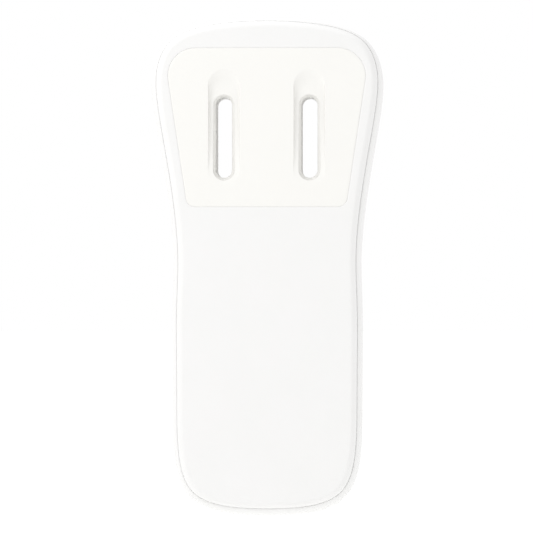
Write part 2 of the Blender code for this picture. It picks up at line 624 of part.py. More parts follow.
# ---------------------------------------------------------------- keys and their switches
# Each key's own origin lies on the middle of its slide, in the hole of the front wall.
KEY_ORIGIN = 19.9 * MM
for order, use in ((-1, "power"), (0, "volume"), (1, "set")):
    x = order * KEY_PITCH
    key_slide = bpy.data.objects.new(f"{use}_slide", None)
    key_slide.location = (x, KEY_ORIGIN, KEY_HEIGHT)
    key_slide.parent = base
    parts.objects.link(key_slide)
    key = cylinder(f"key_{use}", KEY_RADIUS, (0, -0.9 * MM, 0), (0, KEY_FACE - KEY_ORIGIN, 0), 28)
    key.parent = key_slide
    bars(f"{use}_flange", KEY_FLANGE_RADIUS, [(x, KEY_HEIGHT)], KEY_FLANGE_DEPTHS, 28, key, "UNION")
    bars(f"{use}_stem", 2.0 * MM, [(x, KEY_HEIGHT)], (KEY_STEM_END, 18.8 * MM), 16, key, "UNION")
    paint(key, key_grey)
    switch = box(f"switch_{use}", (x - 3 * MM, front_of_board, KEY_HEIGHT - 3 * MM),
                 (x + 3 * MM, 15.6 * MM, KEY_HEIGHT + 3 * MM))
    plunger_depths = (15 * MM, KEY_STEM_END - GAP - KEY_TRAVEL)
    bars(f"{use}_plunger", 1.7 * MM, [(x, KEY_HEIGHT)], plunger_depths, 14, switch, "UNION")
    paint(switch, black_plastic)

# ---------------------------------------------------------------- sockets at the lower end
half_x, half_y = CHARGE_BODY_HALF
charge_socket = box("charge_socket", (CHARGE_X - half_x, SOCKET_DEPTH - half_y, 3.0 * MM),
                    (CHARGE_X + half_x, SOCKET_DEPTH + half_y, 11.6 * MM))
bevel(charge_socket, 1.2 * MM)
socket_well = box(
    "charge_socket_well", (CHARGE_X - half_x + CHARGE_WALL, SOCKET_DEPTH - half_y + CHARGE_WALL, 2 * MM),
    (CHARGE_X + half_x - CHARGE_WALL, SOCKET_DEPTH + half_y - CHARGE_WALL, 9.6 * MM), cutters)
boolean(charge_socket, socket_well)
paint(charge_socket, nickel)

lead_socket = box("lead_socket", at(jack_x - 4, socket_y - 3.8, 5.3), at(jack_x + 4, socket_y + 3.8, 15.3))
collar = cylinder("lead_collar", JACK_COLLAR, at(jack_x, socket_y, 1.7), at(jack_x, socket_y, 6), 24, cutters)
boolean(lead_socket, collar, "UNION")
lead_bore = cylinder("lead_bore", JACK_BORE, at(jack_x, socket_y, 0), at(jack_x, socket_y, 14), 20, cutters)
boolean(lead_socket, lead_bore)
paint(lead_socket, black_plastic)

lead_nut = cylinder("lead_socket_nut", NUT_RADIUS, at(jack_x, socket_y, 1.6), at(jack_x, socket_y, 2.5), 28)
nut_bore = cylinder(
    "nut_bore", JACK_COLLAR + GAP, at(jack_x, socket_y, 0), at(jack_x, socket_y, 4), 24, cutters)
boolean(lead_nut, nut_bore)
paint(lead_nut, nickel)

# The rubber cover of the charging socket swings about its left end. Its outer side follows
# the case, and a nub on its inner side fills the socket's mouth.
cover_hinge = bpy.data.objects.new("port_cover_hinge", None)
cover_hinge.location = (HINGE_X, SOCKET_DEPTH, HINGE_HEIGHT)
cover_hinge.parent = base
parts.objects.link(cover_hinge)
port_cover = box("port_cover", (CHARGE_X - COVER_HALF - HINGE_X, -3 * MM, -4 * MM),
                 (CHARGE_X + COVER_HALF - HINGE_X, 3 * MM, COVER_FLOOR - GAP - HINGE_HEIGHT))
port_cover.parent = cover_hinge
boolean(port_cover, plate("outer_plate", outline(0.1 * MM), 6 * MM, 18 * MM, cutters), "INTERSECT")
nub = box(
    "cover_nub", at(charge_x - 3.4, socket_y - 0.85, 1.5), at(charge_x + 3.4, socket_y + 0.85, 3.9), cutters)
boolean(port_cover, nub, "UNION")
paint(port_cover, grey_rubber)
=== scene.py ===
"""Looks of a hand-held apex locator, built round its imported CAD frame.

+Z runs up the case towards its head, -Y out of the plain rear and +Y out of the display side.
Outlines are (across, height) in millimetres: across is +X, to the right as the rear is seen,
and height is above the lower end of the case. Depths are millimetres from the rear face.
"""
import math

import bmesh
import bpy
import numpy as np
from mathutils import Matrix, Vector


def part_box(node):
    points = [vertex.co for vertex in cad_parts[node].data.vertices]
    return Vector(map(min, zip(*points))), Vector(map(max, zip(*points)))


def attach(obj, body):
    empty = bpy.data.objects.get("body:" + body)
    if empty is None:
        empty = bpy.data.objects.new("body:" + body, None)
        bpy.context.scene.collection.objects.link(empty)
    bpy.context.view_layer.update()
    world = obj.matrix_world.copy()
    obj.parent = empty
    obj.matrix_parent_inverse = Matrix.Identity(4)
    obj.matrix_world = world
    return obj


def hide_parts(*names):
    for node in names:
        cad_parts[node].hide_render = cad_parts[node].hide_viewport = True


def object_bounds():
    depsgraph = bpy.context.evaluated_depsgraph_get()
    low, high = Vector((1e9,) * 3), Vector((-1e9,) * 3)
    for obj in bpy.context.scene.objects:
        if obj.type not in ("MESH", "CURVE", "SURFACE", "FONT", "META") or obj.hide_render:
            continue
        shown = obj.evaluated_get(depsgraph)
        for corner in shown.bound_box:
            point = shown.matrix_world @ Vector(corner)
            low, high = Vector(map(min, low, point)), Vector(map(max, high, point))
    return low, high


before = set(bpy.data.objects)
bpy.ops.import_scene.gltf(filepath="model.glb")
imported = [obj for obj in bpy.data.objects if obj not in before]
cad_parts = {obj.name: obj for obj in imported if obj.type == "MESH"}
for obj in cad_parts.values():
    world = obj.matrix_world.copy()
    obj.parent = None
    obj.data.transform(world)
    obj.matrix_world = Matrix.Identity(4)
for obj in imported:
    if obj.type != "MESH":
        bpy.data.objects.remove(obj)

cad_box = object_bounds()

# ------------------------------------------------------------------ studio
# A white tent: even pale light from everywhere, a large soft lamp before and behind the case,
# a faint glow from the roof, and a pale floor well below the case, which hangs in the air.
MM = 0.001
LENS = 400
SENSOR = 36
FRAME_HEIGHT = 160.9 * MM
CAMERA_AZIMUTH = math.radians(1.6)
CAMERA_ELEVATION = math.radians(-0.3)
LAMP_SIZE = 0.25
FLOOR_SIZE = 40
FLOOR_DROP = 60 * MM

middle = (Vector(cad_box[0]) + Vector(cad_box[1])) / 2
aim = Vector((-0.25 * MM, middle.y - 3 * MM, middle.z + 0.3 * MM))
toward_camera = Vector((
    math.sin(CAMERA_AZIMUTH) * math.cos(CAMERA_ELEVATION),
    -math.cos(CAMERA_AZIMUTH) * math.cos(CAMERA_ELEVATION),
    math.sin(CAMERA_ELEVATION),
))
lens = bpy.data.cameras.new("camera")
lens.lens = LENS
lens.sensor_width = SENSOR
camera = bpy.data.objects.new("camera", lens)
camera.location = aim + toward_camera * FRAME_HEIGHT * LENS / SENSOR
camera.rotation_euler = (-toward_camera).to_track_quat("-Z", "Y").to_euler()
bpy.context.scene.collection.objects.link(camera)
bpy.context.scene.camera = camera
bpy.context.scene.view_settings.view_transform = "Standard"

tent = bpy.data.worlds.new("white_tent")
tent.use_nodes = True
tent.node_tree.nodes["Background"].inputs["Color"].default_value = (1, 1, 1, 1)
tent.node_tree.nodes["Background"].inputs["Strength"].default_value = 1.0
bpy.context.scene.world = tent

for name, place, watts in (
        ("key_lamp", (-0.32, -0.24, 0.28), 0.60),
        ("back_lamp", (-0.15, 0.45, 0.30), 0.42)):
    light = bpy.data.lights.new(name, "AREA")
    light.energy = watts
    light.size = LAMP_SIZE
    lamp = bpy.data.objects.new(name, light)
    lamp.location = place
    lamp.rotation_euler = (middle - Vector(place)).to_track_quat("-Z", "Y").to_euler()
    bpy.context.scene.collection.objects.link(lamp)
roof = bpy.data.lights.new("roof_lamp", "SUN")
roof.energy = 0.36
roof.angle = math.radians(60)
bpy.context.scene.collection.objects.link(bpy.data.objects.new("roof_lamp", roof))


def srgb(code):
    """A colour from its sRGB hex code, as linear red, green, blue and alpha."""
    parts = [int(code[i:i + 2], 16) / 255 for i in (0, 2, 4)]
    linear = [p / 12.92 if p <= 0.04045 else ((p + 0.055) / 1.055) ** 2.4 for p in parts]
    return (*linear, 1.0)


def add(tree, kind, settings=None, links=None):
    """Adds one shader node, with its settings and what is linked into it."""
    node = tree.nodes.new(kind)
    for name, value in (settings or {}).items():
        if hasattr(node, name):
            setattr(node, name, value)
    sockets = {socket.name: socket for socket in reversed(node.inputs) if socket.enabled}
    for name, value in (settings or {}).items():
        if name in sockets:
            sockets[name].default_value = value
    for name, source in (links or {}).items():
        tree.links.new(source, sockets[name])
    return node


def finish(name, **surface):
    """A new finish, its tree, its Principled shader and its Object coordinates."""
    made = bpy.data.materials.new(name)
    made.use_nodes = True
    tree = made.node_tree
    shader = tree.nodes["Principled BSDF"]
    for socket, value in surface.items():
        shader.inputs[socket.replace("_", " ")].default_value = value
    return made, tree, shader, add(tree, "ShaderNodeTexCoord").outputs["Object"]


def result(blend):
    """The output that a Mix node's data type has switched on."""
    return next(socket for socket in blend.outputs if socket.enabled)


def mottle(tree, shader, where, low, high, spot):
    """Lets the base colour drift between two close tones over spots of a real size."""
    noise = add(tree, "ShaderNodeTexNoise", {"Scale": 1 / spot, "Detail": 3.0}, {"Vector": where})
    blend = add(tree, "ShaderNodeMix", {"data_type": "RGBA", "A": srgb(low), "B": srgb(high)},
                {"Factor": noise.outputs["Fac"]})
    tree.links.new(result(blend), shader.inputs["Base Color"])


# Matt paper sweep: fully rough, a trace of fibre in its tone.
paper, tree, shader, where = finish("matt_paper", Roughness=1.0, Specular_IOR_Level=0.0)
mottle(tree, shader, where, "FBFBFA", "FDFDFC", 30 * MM)
bpy.ops.object.select_all(action="DESELECT")
bpy.ops.mesh.primitive_plane_add(size=FLOOR_SIZE, location=(0, 0, cad_box[0][2] - FLOOR_DROP))
floor = bpy.context.object
floor.name = "paper_floor"
floor.data.materials.append(paper)

# ------------------------------------------------------------------ front housing
# The wide shell of the case, injection moulded in white ABS from a spark-eroded tool, so it
# is satin with a very fine grain. It holds the display, the keys and the screw pillars.
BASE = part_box("front_housing")[0].z
OUTLINE_STEPS = 8
GAP = 0.3
case_anchors = [
    (0.0, 150.0), (20.6, 148.0), (30.4, 143.2), (34.4, 135.4), (34.7, 125.0), (31.3, 104.0),
    (28.45, 79.5), (28.75, 62.0), (28.7, 36.0), (27.6, 14.5), (22.8, 4.9), (13.0, 0.85), (0.0, 0.0),
]
case_anchors += [(-x, height) for x, height in case_anchors[-2:0:-1]]


def smooth_loop(anchors, steps):
    """Points and outward normals of the closed cubic spline through the anchors."""
    knots = np.array(anchors)
    count = len(knots)
    spans = np.sqrt(np.linalg.norm(np.roll(knots, -1, 0) - knots, axis=1))
    system = np.zeros((count, count))
    rise = np.zeros((count, 2))
    for i in range(count):
        after = (i + 1) % count
        system[i, i - 1] += spans[i - 1]
        system[i, i] += 2 * (spans[i - 1] + spans[i])
        system[i, after] += spans[i]
        rise[i] = 6 * ((knots[after] - knots[i]) / spans[i] - (knots[i] - knots[i - 1]) / spans[i - 1])
    bend = np.linalg.solve(system, rise)
    points = []
    normals = []
    for i in range(count):
        after = (i + 1) % count
        span = spans[i]
        start = knots[i] / span - bend[i] * span / 6
        end = knots[after] / span - bend[after] * span / 6
        for t in np.linspace(0, span, steps, endpoint=False):
            back = span - t
            point = (bend[i] * back ** 3 + bend[after] * t ** 3) / (6 * span) + start * back + end * t
            along = (bend[after] * t ** 2 - bend[i] * back ** 2) / (2 * span) - start + end
            points.append(point)
            normals.append(np.array((-along[1], along[0])) / np.linalg.norm(along))
    return np.array(points), np.array(normals)


case_points, case_normals = smooth_loop(case_anchors, OUTLINE_STEPS)


def case_outline(inset, lift=0.0):
    """The widest outline of the case, moved inwards by an inset and upwards by a lift."""
    return [(x, height + lift) for x, height in case_points - case_normals * inset]


def quarter(start, end, steps):
    """Pairs of depth and inset round a quarter of an ellipse, from the side wall to a face."""
    wide = end[1] - start[1]
    deep = end[0] - start[0]
    turns = [math.pi / 2 * step / steps for step in range(steps + 1)]
    return [(start[0] + deep * math.sin(turn), start[1] + wide * (1 - math.cos(turn))) for turn in turns]


def fresh():
    """Leaves edit mode with nothing selected."""
    if bpy.context.object and bpy.context.object.mode == "EDIT":
        bpy.ops.object.mode_set(mode="OBJECT")
    bpy.ops.object.select_all(action="DESELECT")


def lay(piece, points, depth):
    """Moves the selected ring of vertices onto an outline at a depth."""
    cage = bmesh.from_edit_mesh(piece.data)
    ring = [vertex for vertex in cage.verts if vertex.select]
    for vertex, (x, height) in zip(ring, points):
        vertex.co = (x * MM, depth * MM, BASE + height * MM)
    bmesh.update_edit_mesh(piece.data)


def skin(name, rings, closed=True):
    """Extrudes a ring from outline to outline, each (depth, points), and fills both ends."""
    fresh()
    bpy.ops.mesh.primitive_circle_add(vertices=len(rings[0][1]), radius=0.01, fill_type="NOTHING")
    piece = bpy.context.object
    piece.name = name
    piece.data.name = name
    bpy.ops.object.mode_set(mode="EDIT")
    bpy.ops.mesh.select_all(action="SELECT")
    lay(piece, rings[0][1], rings[0][0])
    if closed:
        bpy.ops.mesh.edge_face_add()
        bpy.ops.mesh.select_mode(type="EDGE")
        bpy.ops.mesh.select_all(action="SELECT")
        bpy.ops.mesh.select_mode(type="VERT")
    for depth, points in rings[1:]:
        bpy.ops.mesh.extrude_edges_move()
        lay(piece, points, depth)
    if closed:
        bpy.ops.mesh.edge_face_add()
    bpy.ops.mesh.select_all(action="SELECT")
    bpy.ops.mesh.normals_make_consistent(inside=False)
    bpy.ops.object.mode_set(mode="OBJECT")
    return piece


def join_or_cut(piece, tools, operation):
    """Joins shapes to a piece or cuts them out of it, and uses them up."""
    for tool in tools:
        fresh()
        bpy.context.view_layer.objects.active = piece
        piece.select_set(True)
        step = piece.modifiers.new("shape", "BOOLEAN")
        step.operation = operation
        step.solver = "EXACT"
        step.object = tool
        bpy.ops.object.modifier_apply(modifier=step.name)
        bpy.data.objects.remove(tool, do_unlink=True)


def smooth(piece, angle=35):
    """Shades a piece smooth but for its sharp edges, with flat faces kept flat."""
    fresh()
    bpy.context.view_layer.objects.active = piece
    piece.select_set(True)
    bpy.ops.object.shade_smooth_by_angle(angle=math.radians(angle))
    weigh = piece.modifiers.new("weigh", "WEIGHTED_NORMAL")
    weigh.keep_sharp = True
    bpy.ops.object.modifier_apply(modifier=weigh.name)


def coat(piece, surface):
    """Gives a piece its one finish."""
    piece.data.materials.clear()
    piece.data.materials.append(surface)


def round_corners(corners, radii, steps=8):
    """A convex outline, its corners given anticlockwise, each turned by an arc."""
    points = []
    for index, corner in enumerate(corners):
        here = Vector(corner)
        back = (Vector(corners[index - 1]) - here).normalized()
        ahead = (Vector(corners[(index + 1) % len(corners)]) - here).normalized()
        half = back.angle(ahead) / 2
        centre = here + (back + ahead).normalized() * radii[index] / math.sin(half)
        arm = here + back * radii[index] / math.tan(half) - centre
        for step in range(steps + 1):
            points.append(tuple(centre + Matrix.Rotation((math.pi - 2 * half) * step / steps, 2) @ arm))
    return points


def rectangle(across, height, half_width, half_height, radius, steps=8):
    """A rectangle with round corners about a centre."""
    signs = ((-1, -1), (1, -1), (1, 1), (-1, 1))
    corners = [(across + i * half_width, height + j * half_height) for i, j in signs]
    return round_corners(corners, [radius] * 4, steps)


def disc(across, height, radius, steps=12):
    """A circle as a rectangle that is all corners."""
    return rectangle(across, height, radius, radius, radius * 0.9999, steps)


def flared(name, outline, deep, face, flare, sink=None, steps=4):
    """A cutting tool from a depth to past a face, its mouth rounded outwards by a flare.

    outline(grow) gives its outline, face is the surface that it breaks through, and sink is
    how deep the rounding reaches, which is as deep as it is wide unless it is given.
    """
    way = math.copysign(1, face - deep)
    rings = [(deep, outline(0.0))]
    for depth, grow in quarter((face - way * (sink or flare), 0.0), (face, flare), steps):
        rings.append((depth, outline(grow)))
    rings.append((face + way, outline(flare)))
    return skin(name, rings)


# The shell's rings, each (depth, inset, lift): up the inner wall from the front, over the flange
# that the seal lies on, round the lip, down the outer wall and in over the front's soft edge.
# The rear of the case sits a little nearer its head than the front does, which the lift gives.
FRONT = 22.0
INNER_FRONT = 20.0
WIDEST = 10.5
TURN_IN = 14.5
REAR_LIFT = 0.8
LIP_INSET = 1.6
LIFT_PER_INSET = 0.54
BODY_STEPS = 14
inner_wall = quarter((TURN_IN, 2.0), (INNER_FRONT, 6.4), 8)
lip = quarter((WIDEST, 0.0), (3.4, 1.48), BODY_STEPS)
front_edge = quarter((TURN_IN, 0.0), (FRONT, 6.6), BODY_STEPS)
rings = [(INNER_FRONT, 6.9, 0.0)]
rings += [(depth, inset, 0.0) for depth, inset in reversed(inner_wall)]
rings += [(8.0, 2.1, 0.1), (6.6, 2.9, 0.3), (5.4, 3.9, 0.6)]
rings += [(depth, inset, REAR_LIFT) for depth, inset in (
    (4.2, 3.9), (4.2, 1.75), (4.1, 1.65), (3.9, 1.61), (3.5, LIP_INSET), (3.44, 1.56))]
rings += [(depth, inset, LIFT_PER_INSET * inset) for depth, inset in reversed(lip)]
rings += [(depth, inset, 0.0) for depth, inset in front_edge]
rings += [(FRONT, 7.0, 0.0)]
housing = skin("front_housing_shell", [(depth, case_outline(inset, lift)) for depth, inset, lift in rings])


def shape(name, outline, deep, shallow):
    """A plain prism between two depths, to join to a piece or to cut from it."""
    return skin(name, [(deep, outline), (shallow, outline)])


def block(name, low, high, edge=0.0, steps=2):
    """A box between two corners (across, depth, height), its edges rounded in edit mode."""
    fresh()
    size = [(b - a) * MM for a, b in zip(low, high)]
    centre = [(a + b) / 2 * MM for a, b in zip(low, high)]
    bpy.ops.mesh.primitive_cube_add(size=1, location=(centre[0], centre[1], centre[2] + BASE), scale=size)
    piece = bpy.context.object
    piece.name = name
    piece.data.name = name
    bpy.ops.object.transform_apply(location=True, rotation=True, scale=True)
    if edge:
        bpy.ops.object.mode_set(mode="EDIT")
        bpy.ops.mesh.select_all(action="SELECT")
        bpy.ops.mesh.bevel(offset=edge * MM, segments=steps, affect="EDGES")
        bpy.ops.object.mode_set(mode="OBJECT")
    return piece


def rod(name, radius, start, end, sides, edge=0.0):
    """A round bar between two places (across, depth, height), its rims rounded in edit mode."""
    fresh()
    start = Vector(start) * MM + Vector((0, 0, BASE))
    end = Vector(end) * MM + Vector((0, 0, BASE))
    turn = Vector((0, 0, 1)).rotation_difference(end - start).to_euler()
    bpy.ops.mesh.primitive_cylinder_add(
        vertices=sides, radius=radius * MM, depth=(end - start).length,
        location=(start + end) / 2, rotation=turn)
    piece = bpy.context.object
    piece.name = name
    piece.data.name = name
    bpy.ops.object.transform_apply(location=True, rotation=True, scale=True)
    if edge:
        bpy.ops.object.mode_set(mode="EDIT")
        bpy.ops.mesh.select_mode(type="FACE")
        bpy.ops.mesh.select_all(action="DESELECT")
        cage = bmesh.from_edit_mesh(piece.data)
        for face in cage.faces:
            face.select = len(face.verts) > 4
        bmesh.update_edit_mesh(piece.data)
        bpy.ops.mesh.region_to_loop()
        bpy.ops.mesh.bevel(offset=edge * MM, segments=2, affect="EDGES")
        bpy.ops.mesh.select_mode(type="VERT")
        bpy.ops.object.mode_set(mode="OBJECT")
    return piece


WINDOW_MIDDLE = 66.0
SLOT_ACROSS = 12.86
SLOT_LOW = 102.0
SLOT_HIGH = 126.2
SLOT_WIDTH = 4.8
TUBE_WALL = 1.3
KEY_HEIGHT = 27.0
KEY_PITCH = 14.0
KEY_RADIUS = 4.7
LAMP_HEIGHT = 98.0
BUZZER_HEIGHT = 114.0
SOUND_HOLE_REACH = 2.6
SOCKET_DEPTH = 12.0
JACK_ACROSS = 10.0
CHARGE_ACROSS = -7.0
case_screws = [(-23.5, 130.0), (23.5, 130.0), (-22.2, 105.0), (22.2, 105.0)]
board_screws = [(-20.5, 91.0), (20.5, 91.0)]


def stadium(across, low, high, width, steps=12):
    """An upright slot outline with two round ends."""
    return rectangle(across, (low + high) / 2, width / 2, (high - low) / 2, width / 2 * 0.9999, steps)


pillars = [shape("pillar", disc(x, height, 3.0), 5.6, 20.6) for x, height in case_screws]
pillars += [shape("post", disc(x, height, 2.3), 12.5, 20.6) for x, height in board_screws]
pillars.append(block("socket_block", (-16, 7.4, 1.8), (16, 16.8, 5.0), 0.4))
join_or_cut(housing, pillars, "UNION")

cuts = [shape("pillar_bore", disc(x, height, 1.45), 5.0, 17.0) for x, height in case_screws]
cuts += [shape("post_bore", disc(x, height, 1.25), 12.0, 18.0) for x, height in board_screws]
# What opens through the front wall is cut from behind it, at this depth.
BEHIND_WALL = 19.0
cuts.append(flared(
    "window_pocket", lambda grow: rectangle(0, WINDOW_MIDDLE, 21.0 + grow, 22.0 + grow, 4.3 + grow),
    20.6, FRONT, 0.3))
cuts.append(shape("window_opening", rectangle(0, WINDOW_MIDDLE, 18.8, 19.8, 2.5), BEHIND_WALL, 21.5))
for side in (-1, 1):
    cuts.append(flared("passage", lambda grow: stadium(
        side * SLOT_ACROSS, SLOT_LOW - TUBE_WALL - GAP - grow, SLOT_HIGH + TUBE_WALL + GAP + grow,
        SLOT_WIDTH + 2 * (TUBE_WALL + GAP + grow)), BEHIND_WALL, FRONT, 0.45))
for place in (-1, 0, 1):
    cuts.append(flared(
        "key_hole", lambda grow: disc(place * KEY_PITCH, KEY_HEIGHT, KEY_RADIUS + GAP + grow),
        BEHIND_WALL, FRONT, 0.4))
cuts.append(flared("lamp_hole", lambda grow: disc(0, LAMP_HEIGHT, 1.8 + grow), BEHIND_WALL, FRONT, 0.25))
for turn in range(5):
    reach = SOUND_HOLE_REACH if turn else 0.0
    x = reach * math.cos(turn * math.pi / 2)
    height = BUZZER_HEIGHT + reach * math.sin(turn * math.pi / 2)
    cuts.append(flared("sound_hole", lambda grow: disc(x, height, 0.7 + grow, 6), BEHIND_WALL, FRONT, 0.2))
cuts.append(block("cover_bed", (CHARGE_ACROSS - 6.6, 8.7, -2), (CHARGE_ACROSS + 6.6, 15.3, 2.3), 0.5))
cuts.append(block("charge_mouth", (CHARGE_ACROSS - 4.8, 10.1, 1), (CHARGE_ACROSS + 4.8, 13.9, 6), 0.9, 4))
cuts.append(rod("nut_bed", 4.6, (JACK_ACROSS, SOCKET_DEPTH, -2), (JACK_ACROSS, SOCKET_DEPTH, 2.8), 48))
cuts.append(rod("jack_hole", 3.3, (JACK_ACROSS, SOCKET_DEPTH, 1), (JACK_ACROSS, SOCKET_DEPTH, 6), 40))
join_or_cut(housing, cuts, "DIFFERENCE")
smooth(housing)


def vary_roughness(tree, shader, where, low, high, spot):
    """Lets the roughness drift between two values over spots of a real size."""
    noise = add(tree, "ShaderNodeTexNoise", {"Scale": 1 / spot, "Detail": 4.0}, {"Vector": where})
    spread = add(tree, "ShaderNodeMapRange", {"To Min": low, "To Max": high}, {"Value": noise.outputs["Fac"]})
    tree.links.new(spread.outputs["Result"], shader.inputs["Roughness"])


# Moulded ABS: satin, a hint of drift in its white, and a fine spark-eroded grain that is drawn
# 0.4 mm across, coarser than the real 0.05 mm, so that it breaks up the highlights.
def moulded(name, low, high, smoothest, roughest, grain=0.4, relief=0.006):
    """An injection moulded plastic between two close tones, with a fine tool grain."""
    surface, tree, shader, where = finish(name, IOR=1.53)
    mottle(tree, shader, where, low, high, 14 * MM)
    vary_roughness(tree, shader, where, smoothest, roughest, 3 * MM)
    pits = add(tree, "ShaderNodeTexNoise", {"Scale": 1 / (grain * MM), "Detail": 2.0}, {"Vector": where})
    bump = add(tree, "ShaderNodeBump", {"Distance": relief * MM}, {"Height": pits.outputs["Fac"]})
    tree.links.new(bump.outputs["Normal"], shader.inputs["Normal"])
    return surface


moulded_abs_white = moulded("moulded_abs_white", "E3E3E2", "E6E5E5", 0.33, 0.43)
coat(housing, moulded_abs_white)
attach(housing, "case")
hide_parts("front_housing")

# ------------------------------------------------------------------ display window
# A 1 mm pane of smoked acrylic, laser cut and polished at its edges, taped into its pocket.
# Black print on its back frames the display, whose dead screen shows a little lighter.
pane = skin("display_window_pane", [
    (depth, rectangle(0, WINDOW_MIDDLE, 20.7 - inset, 21.7 - inset, 4.0 - inset * 0.8))
    for depth, inset in [(20.9, 0.5), (20.9, 0.15), (20.95, 0.04), (21.05, 0.0)]
    + quarter((21.6, 0.0), (21.9, 0.3), 4) + [(21.9, 0.7)]
])
smooth(pane)
# Smoked acrylic: a deep, mirror-smooth gloss over the black print and the grey screen.
smoked_acrylic, tree, shader, where = finish("smoked_acrylic", IOR=1.49, Roughness=0.04)
# The screen's edge is worked out from the distance to the nearest side of its rectangle.
centred = add(tree, "ShaderNodeMapping", {"Location": (0, 0, -(BASE + WINDOW_MIDDLE * MM))},
              {"Vector": where})
apart = add(tree, "ShaderNodeSeparateXYZ", None, {"Vector": centred.outputs["Vector"]})
edges = []
for axis, half in (("X", 17.2 * MM), ("Z", 18.4 * MM)):
    away = add(tree, "ShaderNodeMath", {"operation": "ABSOLUTE"}, {"Value": apart.outputs[axis]})
    edges.append(add(tree, "ShaderNodeMapRange", {
        "From Min": half, "From Max": half + 0.15 * MM, "To Min": 1.0, "To Max": 0.0,
    }, {"Value": away.outputs["Value"]}))
inside = add(tree, "ShaderNodeMath", {"operation": "MULTIPLY"}, {"Value": edges[0].outputs["Result"]})
tree.links.new(edges[1].outputs["Result"], inside.inputs[1])
haze = add(tree, "ShaderNodeTexNoise", {"Scale": 1 / (20 * MM)}, {"Vector": where})
screen = add(tree, "ShaderNodeMix", {"data_type": "RGBA", "A": srgb("23282B"), "B": srgb("2A3033")},
             {"Factor": haze.outputs["Fac"]})
print_and_screen = add(tree, "ShaderNodeMix", {"data_type": "RGBA", "A": srgb("0B0C0D")},
                       {"Factor": inside.outputs["Value"], "B": result(screen)})
tree.links.new(result(print_and_screen), shader.inputs["Base Color"])
coat(pane, smoked_acrylic)
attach(pane, "case")
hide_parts("display_window")

# ------------------------------------------------------------------ keys
# Three round keys moulded in grey ABS, each on its own tact switch, with a dished face,
# a flange that holds it behind the shell, and a plain sunk mark: a ring, bars or a dot.
# The grey ABS is a little rougher than the case's, so its shine is softer.
MARK_DEPTH = 21.9
ABOVE_KEYS = 23.0
moulded_abs_grey = moulded("moulded_abs_grey", "A9B0B8", "B1B8C0", 0.42, 0.52)
for order, use in enumerate(("power", "volume", "set")):
    x = (order - 1) * KEY_PITCH
    turned = [(17.5, 0.4), (17.5, 1.7), (17.58, 1.9), (17.8, 2.0), (18.3, 2.0), (18.4, 2.2), (18.4, 5.6),
              (18.5, 5.75), (18.6, 5.8), (19.2, 5.8), (19.35, 5.72), (19.4, 5.6), (19.4, 4.9),
              (19.5, KEY_RADIUS), (22.0, KEY_RADIUS)]
    turned += [(depth, KEY_RADIUS - inset) for depth, inset in quarter((22.1, 0.0), (22.6, 0.55), 5)[1:]]
    turned += [(22.3 + 0.3 * (radius / 4.0) ** 2, radius) for radius in (3.6, 3.0, 2.4, 1.8, 1.2, 0.6)]
    key = skin(f"key_{use}_cap", [(depth, disc(x, KEY_HEIGHT, radius, 12)) for depth, radius in turned])
    marks = []
    if use == "power":
        marks.append(shape("mark", disc(x, KEY_HEIGHT, 1.5, 8), MARK_DEPTH, ABOVE_KEYS))
        core = shape("core", disc(x, KEY_HEIGHT, 1.0, 8), MARK_DEPTH - 0.4, ABOVE_KEYS + 0.5)
        join_or_cut(marks[0], [core], "DIFFERENCE")
    if use == "volume":
        for bar in range(3):
            tall = 0.5 + 0.35 * bar
            outline = rectangle(x - 1.2 + 1.2 * bar, KEY_HEIGHT - 0.9 + 0.35 * bar, 0.35, tall, 0.15, 3)
            marks.append(shape("mark", outline, MARK_DEPTH, ABOVE_KEYS))
    if use == "set":
        marks.append(shape("mark", disc(x, KEY_HEIGHT, 0.8, 8), MARK_DEPTH, ABOVE_KEYS))
    join_or_cut(key, marks, "DIFFERENCE")
    smooth(key)
    coat(key, moulded_abs_grey)
    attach(key, f"{use}_key")
    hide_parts(f"key_{use}")

# ------------------------------------------------------------------ lamp light pipe
# A clear moulded pin that brings the status lamp's light to the front, with a polished tip.
# A collar on it stays behind the shell's wall and keeps it from falling out through the front.
pipe = skin("light_pipe_pin", [(depth, disc(0, LAMP_HEIGHT, radius, 8)) for depth, radius in (
    (13.8, 0.6), (13.8, 1.3), (13.9, 1.45), (14.1, 1.5), (18.6, 1.5), (18.6, 2.45), (18.7, 2.58), (19.5, 2.6),
    (19.6, 2.5), (19.6, 1.6), (21.5, 1.5), (21.72, 1.35), (21.84, 1.0), (21.9, 0.5))])
smooth(pipe)
# Clear acrylic with little light behind it: a pale gloss with a trace of green from its edges.
clear_acrylic, tree, shader, where = finish("clear_acrylic", IOR=1.49, Roughness=0.06)
mottle(tree, shader, where, "D3DDD6", "DEE6E0", 2 * MM)
coat(pipe, clear_acrylic)
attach(pipe, "case")
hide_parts("light_pipe")

# ------------------------------------------------------------------ display module
# A black moulded frame holds a two-pane liquid crystal cell over an edge-lit light guide. An
# amber ribbon with copper tracks leads from the cell's ledge down to the board.
bezel = skin("display_bezel", [
    (depth, rectangle(0, WINDOW_MIDDLE, 21.8 - inset, 22.4 - inset, 1.5 - inset / 2, 4))
    for depth, inset in ((12.5, 0.3), (12.6, 0.1), (12.8, 0.0), (19.4, 0.0), (19.6, 0.1), (19.7, 0.3))])
cuts = [block("well", (-19.9, 12, WINDOW_MIDDLE - 20.9), (19.9, 18.9, WINDOW_MIDDLE + 20.9), 0.3)]
cuts.append(flared("view", lambda grow: rectangle(0, WINDOW_MIDDLE, 18.4 + grow, 19.4 + grow, 0.5 + grow, 3),
                   18.0, 19.7, 0.5))
cuts.append(block("ribbon_slit", (-12.6, 12, WINDOW_MIDDLE - 23), (12.6, 16, WINDOW_MIDDLE - 20), 0.2))
